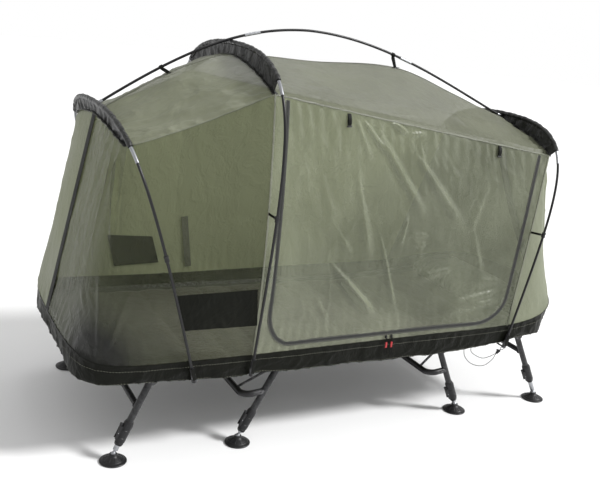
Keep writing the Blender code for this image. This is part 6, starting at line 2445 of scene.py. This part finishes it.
    def foot_piece(self, leg: LegPair, side: float, word: str) -> None:
        """Build a domed mud foot with its ribs, rim and socket.

        Args:
            leg: The pair's sizes.
            side: NEAR or FAR.
            word: The side's word in names.
        """
        place = Matrix.Translation(at(leg.foot, side * self.leg_y, self.ball_z))
        r = self.foot_radius
        profile = ((0.0010, -0.030), (r - 0.004, -0.030), (r - 0.0012, -0.0290), (r, -0.0272), (r, -0.0252),
                   (r - 0.0012, -0.0238), (r - 0.0060, -0.0226), (0.0375, -0.0196), (0.0360, -0.0182),
                   (0.0330, -0.0180), (0.0290, -0.0150), (0.0220, -0.0112), (0.0165, -0.0075), (0.0142, -0.0045),
                   (0.0136, -0.0030), (0.0136, 0.0004), (0.0128, 0.0014), (0.0106, 0.0015), (0.0100, 0.0008),
                   (0.0099, -0.0004), (0.0090, -0.0046), (0.0070, -0.0074), (0.0040, -0.0092), (0.0008, -0.0099))
        made = [lathe(profile, Finishes.PLASTIC, place, 56, "foot", 26.0)]
        for k in range(10):
            angle = math.tau * (k + 0.5) / 10
            start, end = (place.translation + Vector((math.cos(angle) * far, math.sin(angle) * far, z))
                          for far, z in ((0.0170, -0.0088), (0.0350, -0.0186)))
            made.append(bar(start, end, 0.0013, Finishes.PLASTIC, 8, 0.0004, "rib"))
        foot = join(made, "foot_%d_%s" % (leg.number, word))
        shade(foot, 30.0)
        node = "mud_foot_%d_%s" % (leg.number, word)
        ride(foot, node, node, slot="plastic")

    def lever_piece(self, leg: LegPair, side: float, word: str) -> None:
        """Build a lock lever with its rolled thumb end and grip ribs.

        Args:
            leg: The pair's sizes.
            side: NEAR or FAR.
            word: The side's word in names.
        """
        hinge, up, face, _ = self.lever_place(leg, side)
        turn = Matrix((face, ACROSS, face.cross(ACROSS))).transposed()
        thick, width, length = self.lever
        made = [slab(hinge + up * (length * 0.30), (thick * 0.9, width * 0.98, length), Finishes.PLASTIC, turn,
                     0.0014, "lever"),
                slab(hinge + up * (length * 0.74) + face * 0.002, (thick + 0.005, width, 0.010), Finishes.PLASTIC,
                     turn, 0.0026, "tip")]
        for k in range(4):
            spot = hinge + up * (length * (0.30 + 0.09 * k)) + face * (thick * 0.45)
            made.append(self.across(spot, self.grip, Finishes.PLASTIC, 8, 0.0002, "grip"))
        lever = join(made, "lever_%d_%s" % (leg.number, word))
        shade(lever, 35.0)
        node = "lock_lever_%d_%s" % (leg.number, word)
        ride(lever, node, node, slot="plastic")

    def build(self) -> None:
        """Build and dress all eight legs."""
        for leg in LEG_PAIRS:
            self.frame_piece(leg)
            for word, side in SIDES.items():
                self.inner_piece(leg, side, word)
                self.foot_piece(leg, side, word)
                self.lever_piece(leg, side, word)


# Trims, zip sliders and drawcord


@dataclass
class Trims:
    """Tapes, bindings, pockets and toggles sewn to the tent."""

    tape: float = 0.0012
    binding: float = 0.007
    foot_tape: float = 0.048
    head_tape: float = 0.042
    ridge_tape: float = 0.009
    stitch: Triple = (0.009, 0.005, 0.0005)
    vent: tuple[Pair, ...] = ((0.366, 0.500), (0.634, 0.501), (0.621, 0.638), (0.333, 0.624))
    pocket: tuple[Pair, ...] = ((0.367, 0.430), (0.569, 0.439), (0.534, 0.561), (0.330, 0.576))
    pocket_lift: float = 0.006
    strap: float = 0.030
    loop_shares: Pair = (0.305, 0.800)
    loop: float = 0.013
    toggle: Pair = (0.010, 0.0030)

    def wall_line(self, s: float, side: float, count: int = 60) -> tuple[list[Vector], list[Vector]]:
        """Return a line up the wall at a column, and its outward directions.

        Args:
            s: The wall column.
            side: NEAR or FAR.
            count: Steps up the wall.

        Returns:
            The line's points and the directions at them.
        """
        line = []
        outs = []
        for t in shares(0.0, 1.0, count):
            along = SHAPE.wall_point(s + 0.02, t) - SHAPE.wall_point(max(s - 0.02, 0.0), t)
            up = SHAPE.wall_point(s, min(t + 0.01, 1.0)) - SHAPE.wall_point(s, max(t - 0.01, 0.0))
            out = along.cross(up).normalized() if s > 0.0 else Vector((-1.0, 0.0, 0.2)).normalized()
            line.append(mirror_y(SHAPE.wall_point(s, t), side))
            outs.append(mirror_y(out, side))
        return line, outs

    def hoop_bindings(self) -> None:
        """Build the bindings of the door's panel, the tape down the foot end and the one inside the head end."""
        for number, column in enumerate(SHAPE.corners[1:], 2):
            for word, side in SIDES.items():
                line, outs = self.wall_line(column, side)
                name = "wall_binding_%d_%s" % (number, word)
                fix(ribbon(line, outs, self.binding, self.tape, Finishes.BINDING, name, 0.0008, 0.05))
        line, outs = self.wall_line(0.0, NEAR)
        fix(ribbon(line, outs, self.foot_tape, self.tape, Finishes.BLACK, "middle_tape_foot", 0.0008))
        inward = Vector((-1.0, 0.0, -0.1)).normalized()
        line = [SHAPE.wall_point(lerp(12.1, SHAPE.last, t), t) + inward * 0.012 for t in shares(0.0, 1.0, 60)]
        outs = [inward] * len(line)
        fix(ribbon(line, outs, self.head_tape, self.tape, Finishes.TAPE, "middle_tape_head", 0.0008))

    def roof_seams(self) -> None:
        """Build the puckered seam along the roof's edges and the tape along its ridge."""
        for word, side in SIDES.items():
            for panel, low, high, width in (("foot", 3.0, 6.0, 0.003), ("main", 6.0, 9.0, 0.006)):
                seam = [SHAPE.edges(s)[1] for s in shares(low, high, 120)]
                line = [at(p.x, side * abs(p.y), p.z + 0.0012 * ripple(p, 28.0)) for p in seam]
                outs = [Vector((0.0, side * 0.86, 0.5)).normalized()] * len(line)
                name = "roof_seam_%s_%s" % (panel, word)
                fix(ribbon(line, outs, width, 0.0016, Finishes.BINDING, name, 0.0002, 0.12))
                if panel == "main":
                    fix(stitches(line, outs, name + "_stitches", *self.stitch, 0.0024))
        line = [at(x, 0.0, SHAPE.ridge_z(x)) for x in [0.152 + 1.846 * k / 160 for k in range(161)]]
        outs = [Vector((0.0, 0.0, 1.0))] * len(line)
        fix(ribbon(line, outs, self.ridge_tape, 0.0011, Finishes.BINDING, "ridge_tape", 0.0003))
        for word, shift in (("a", 0.0030), ("b", -0.0030)):
            shifted = [p + ACROSS * shift for p in line]
            fix(stitches(shifted, outs, "ridge_stitches_" + word, *self.stitch, 0.0013))

    def near_foot(self, x: float, z: float, lift: float) -> Vector:
        """Return a place on the near foot wall's finished cloth.

        Args:
            x: Its station.
            z: Its height.
            lift: How far it is moved outwards.

        Returns:
            The place.
        """
        def place(s: float) -> Vector:
            """Return the wall's smooth place at a column and the height."""
            foot, top, _ = SHAPE.edges(s)
            return SHAPE.wall_point(s, (z - foot.z) / (top.z - foot.z))

        s, _ = crossing(lambda s: place(s).x > at(x, 0.0, 0.0).x, *map(float, SHAPE.corners[:2]))
        p = place(s)
        foot, top, _ = SHAPE.edges(s)
        return p + DRAPE.near_out * (DRAPE.side(p, z - foot.z, top.z - z) + lift)

    def patch(self, name: str, corners: Line, out: Vector, finish: Finishes, thick: float,
              steps: int = 16) -> Piece:
        """Build a sewn panel between four corners, with a slightly puffed face.

        Args:
            name: The panel's name.
            corners: Its corners in order round it.
            out: The direction it faces.
            finish: Its finish.
            thick: How far its middle stands out.
            steps: Grid steps along each side.

        Returns:
            The panel.
        """
        rows = []
        for u in shares(0.0, 1.0, steps):
            row = []
            for v in shares(0.0, 1.0, steps):
                p = corners[0].lerp(corners[1], u).lerp(corners[3].lerp(corners[2], u), v)
                rim = min(u, 1.0 - u, v, 1.0 - v)
                puff = thick * smooth(rim / 0.16) + 0.0012 * ripple(p, 22.0, 3.0) * smooth(rim / 0.1)
                row.append(p + out * (puff + 0.0006))
            rows.append(row)
        return one_sheet(name, rows, finish)

    def pockets(self) -> None:
        """Build the black patch on the near foot wall and the organiser inside the far wall."""
        def far_wall(x: float, z: float, lift: float) -> Vector:
            """Return a place inside the far wall at a station and height, lifted off it."""
            spots = (SHAPE.wall_point(s, (z - 0.39) / max(SHAPE.edges(s)[1].z - 0.39, 0.1))
                     for s in [3.0 + 0.05 * k for k in range(121)])
            p = min(spots, key=lambda spot: abs(spot.x - at(x, 0, 0).x))
            return Vector((at(x, 0, 0).x, -(p.y + lift), z))

        corners = [Vector(corner) for corner in self.vent]
        rows = []
        for i in range(41):
            low = corners[0].lerp(corners[1], i / 40)
            top = corners[3].lerp(corners[2], i / 40)
            lift = 0.0022 + 0.0008 * math.sin(i * 1.9)
            rows.append([self.near_foot(*low.lerp(top, j / 20), lift) for j in range(21)])
        fix(one_sheet("vent_patch", rows, Finishes.SKIRT, True))
        corners = [far_wall(x, z, self.pocket_lift) for x, z in self.pocket]
        fix(self.patch("inside_pocket", corners, -ACROSS, Finishes.BLACK, self.pocket_lift))
        strap = [far_wall(lerp(0.71, 0.68, t), lerp(0.415, 0.65, t), 0.005) for t in shares(0.0, 1.0, 20)]
        fix(ribbon(strap, [-ACROSS] * len(strap), self.strap, 0.0014, Finishes.BINDING, "inside_strap_far"))

    def toggles(self) -> None:
        """Build the roll-up loops above the door: a folded webbing strap with a little toggle."""
        half, radius = self.toggle
        for number, share in enumerate(self.loop_shares, 1):
            top = DOOR_SHAPE.place((share, 0.992), 0.0015)
            low = DOOR_SHAPE.place((share + 0.003, 0.945), 0.0020)
            out = DRAPE.near_out
            loop = [top, top.lerp(low, 0.5) + out * 0.002, low + out * 0.002, low + out * 0.008,
                    top.lerp(low, 0.5) + out * 0.011, top + out * 0.004]
            points = [spline(loop, (len(loop) - 1) * k / 40) for k in range(41)]
            outs = [heading(points, k).cross(Vector((1.0, 0.0, 0.0))).normalized() for k in range(41)]
            ride(ribbon(points, outs, self.loop, 0.0014, Finishes.BLACK, "roll_up_loop_%d" % number), "door")
            start, end = (low + out * 0.006 + Vector((way * half, 0.0, -0.004)) for way in (-1.0, 1.0))
            ride(bar(start, end, radius, Finishes.PLASTIC, 18, 0.0010, "roll_up_toggle_%d" % number), "door")

    def build(self) -> None:
        """Build every trim."""
        self.hoop_bindings()
        self.roof_seams()
        self.pockets()
        self.toggles()


@dataclass
class Sliders:
    """Two zip sliders with red pulls."""

    stations: Pair = (1.192, 1.216)
    body: Triple = (0.008, 0.006, 0.012)
    pull: Triple = (0.006, 0.0025, 0.024)

    def build(self) -> None:
        """Build and dress both sliders."""
        for number, x in enumerate(self.stations, 1):
            s = lerp(7.0, 8.0, (x - SHAPE.wall[7][0][0]) / (SHAPE.wall[8][0][0] - SHAPE.wall[7][0][0]))
            here = SHAPE.wall_point(s, 0.035 * 0.45)
            centre = here + Vector((0.0, -self.body[1] / 2 - 0.0006, 0.0))
            made = [slab(centre, self.body, Finishes.PLASTIC, bevel=0.0017, name="slider"),
                    slab(centre + Vector((0.0, -0.0036, 0.0012)), (0.0044, 0.0022, 0.0070), Finishes.PLASTIC,
                         bevel=0.0010, name="bridge")]
            top = centre + Vector((0.0, -self.body[1] / 2 - 0.0020, -0.004))
            for start, drop, wide in ((0.0, 0.018, 0.0030), (self.pull[2] + 0.014, 0.030, 0.0050)):
                loop = []
                for k in range(25):
                    a = math.tau * k / 24
                    loop.append(top + Vector((wide * math.sin(a), -0.004 * (start > 0.0),
                                              -start - drop / 2 + drop / 2 * math.cos(a))))
                made.append(pipe(loop, 0.0011, Finishes.CORD, "loop", 3))
            grip = top - Vector((0.0, 0.002, 0.016 + self.pull[2] / 2))
            made.append(slab(grip, (self.pull[0] * 1.2, self.pull[1] * 1.8, self.pull[2]), Finishes.RED,
                             bevel=0.0018, name="pull"))
            for k in range(4):
                spot = grip + Vector((0.0, -0.0022, (k - 1.5) * 0.0042))
                made.append(bar(spot - Vector((0.0030, 0.0, 0.0)), spot + Vector((0.0030, 0.0, 0.0)), 0.0007,
                                Finishes.RED, 8, 0.0002, "grip"))
            slider = join(made, "red_slider_%d" % number)
            ride(slider, "zip_slider_%d" % number, "zip_slider_%d" % number, slot="red")


@dataclass
class Drawcord:
    """Loop of the hem's drawcord, through its cord lock and back."""

    radius: float = 0.00125
    lock_at: Triple = (1.782, -0.470, 0.285)
    lock_turn: float = math.radians(35.0)
    lock_length: float = 0.018
    apart: float = 0.0036
    tip: float = 0.022
    tip_wide: float = 0.0081
    lead: float = 0.006
    steps: int = 176

    def route(self) -> list[Vector]:
        """Return the cord's line.

        Returns:
            The cord's line, from the lock to its loose end.
        """
        axis = Vector((math.cos(self.lock_turn), 0.0, math.sin(self.lock_turn)))
        lock = Vector(self.lock_at)
        start = lock - axis * self.lock_length / 2
        end = lock + axis * self.lock_length / 2
        aside = Vector((0.0, self.apart / 2, 0.0))
        wide = Vector((0.0, self.tip_wide, 0.0))
        before = start - axis * self.lead
        marks = [(1.600, -0.462, 0.3200), (1.606, -0.470, 0.280), (1.640, -0.480, 0.248),
                 (1.700, -0.484, 0.236), (1.750, -0.478, 0.256),
                 before - aside, start - aside, end - aside, end + axis * self.lead - aside,
                 end + axis * self.tip * 0.6 - wide, end + axis * self.tip, end + axis * self.tip * 0.6 + wide,
                 end + axis * self.lead + aside, end + aside, start + aside, before + aside,
                 (1.745, -0.464, 0.264), (1.712, -0.460, 0.258), (1.672, -0.458, 0.274),
                 (1.644, -0.459, 0.296), (1.640, -0.462, 0.3228)]
        marks = [Vector(m) for m in marks]
        return [at(*spline(marks, (len(marks) - 1) * k / self.steps)) for k in range(self.steps + 1)]

    def build(self) -> None:
        """Build and dress the cord."""
        points = self.route()
        cord = fix(pipe(points, self.radius, Finishes.CORD, "hem_cord", 3), "drawcord", slot="gathered")


# Bed frame's own materials


def dress_nodes() -> None:
    """Give the CAD nodes that stay their materials."""
    steel = ["frame_foot", "frame_head"] + ["rail_middle_" + word for word in SIDES]
    steel += ["section_hinge_%s_%s" % (end, word) for end in ("foot", "head") for word in SIDES]
    for name, finish in [(name, Finishes.STEEL) for name in steel] + [("cord_lock", Finishes.PLASTIC)]:
        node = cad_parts[name]
        node.data.materials.clear()
        node.data.materials.append(finish.material)


# Studio


@dataclass
class Studio:
    """Camera at the photograph's angle, soft lights and a pale floor."""

    lens: float = 48.69
    place: Vector = field(default_factory=lambda: Vector((-1.614, -2.919, 1.539)))
    forward: Vector = field(default_factory=lambda: Vector((0.4524, 0.8548, -0.2543)))
    right: Vector = field(default_factory=lambda: Vector((0.8914, -0.4417, 0.1011)))
    upward: Vector = field(default_factory=lambda: Vector((0.0260, 0.2725, 0.9618)))
    sky: float = 0.68
    sun: float = 3.4
    sun_angle: float = math.radians(12.0)
    sun_from: Vector = field(default_factory=lambda: Vector((0.66, -0.46, 0.74)))

    def camera(self) -> None:
        """Place the camera."""
        data = bpy.data.cameras.new("camera")
        data.lens = self.lens
        data.sensor_width = 36.0
        data.clip_end = 50.0
        camera = bpy.data.objects.new("camera", data)
        camera.matrix_world = Matrix.Translation(self.place) @ Matrix(
            (self.right, self.upward, -self.forward)).transposed().to_4x4()
        bpy.context.scene.collection.objects.link(camera)
        bpy.context.scene.camera = camera

    def light(self, name: str, place: Vector, target: Vector, size: float, power: float) -> None:
        """Place one soft area light that looks at a target.

        Args:
            name: Its name.
            place: Where it stands.
            target: Where it looks.
            size: Its diameter.
            power: Its power in watts.
        """
        data = bpy.data.lights.new(name, "AREA")
        data.shape = "DISK"
        data.size = size
        data.energy = power
        lamp = bpy.data.objects.new(name, data)
        turn = (place - target).to_track_quat("Z", "Y").to_matrix().to_4x4()
        lamp.matrix_world = Matrix.Translation(place) @ turn
        bpy.context.scene.collection.objects.link(lamp)

    def floor(self) -> None:
        """Lay the plain pale floor."""
        clear_selection()
        bpy.ops.mesh.primitive_plane_add(size=60.0)
        floor = bpy.context.object
        floor.name = "floor"
        finish = bpy.data.materials.new("pale_floor")
        finish.use_nodes = True
        t = Tree(finish.node_tree)
        shader = finish.node_tree.nodes["Principled BSDF"]
        t.put(t.blend(t.noise(t.coords(), 2.0, 3.0), (0.86, 0.86, 0.86), (0.90, 0.90, 0.90)),
              shader.inputs["Base Color"])
        shader.inputs["Roughness"].default_value = 0.7
        floor.data.materials.append(finish)

    def world(self) -> None:
        """Light the scene evenly from a plain sky."""
        world = bpy.data.worlds.new("studio")
        world.use_nodes = True
        back = world.node_tree.nodes["Background"]
        t = Tree(world.node_tree)
        seen = t.add("ShaderNodeLightPath").outputs["Is Camera Ray"]
        t.put(t.span(seen, 0.0, 1.0, self.sky, 1.0), back.inputs["Strength"])
        back.inputs["Color"].default_value = (1.0, 1.0, 1.0, 1.0)
        bpy.context.scene.world = world
        bpy.context.scene.view_settings.view_transform = "Standard"

    def build(self) -> None:
        """Build the studio."""
        self.camera()
        self.world()
        self.floor()
        middle = Vector((0.0, 0.0, 0.7))
        self.light("fill", Vector((3.6, -2.0, 2.0)), middle, 2.0, 30.0)
        self.light("top", Vector((0.3, 1.4, 4.6)), middle, 2.0, 25.0)
        data = bpy.data.lights.new("key", "SUN")
        data.energy = self.sun
        data.angle = self.sun_angle
        sun = bpy.data.objects.new("key", data)
        sun.matrix_world = self.sun_from.to_track_quat("Z", "Y").to_matrix().to_4x4()
        bpy.context.scene.collection.objects.link(sun)


def main() -> None:
    """Build the bivvy's looks piece by piece."""
    logging.basicConfig(level=logging.INFO, format="%(message)s")
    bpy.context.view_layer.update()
    Studio().build()
    Drawcord().build()
    Canopy().build()
    Door().build()
    Tub().build()
    for number in (1, 2, 3):
        Fin(number).build()
    Poles().build()
    Hangers().build()
    Bed().build()
    Legs().build()
    Trims().build()
    Sliders().build()
    dress_nodes()


if __name__ == "__main__":
    main()
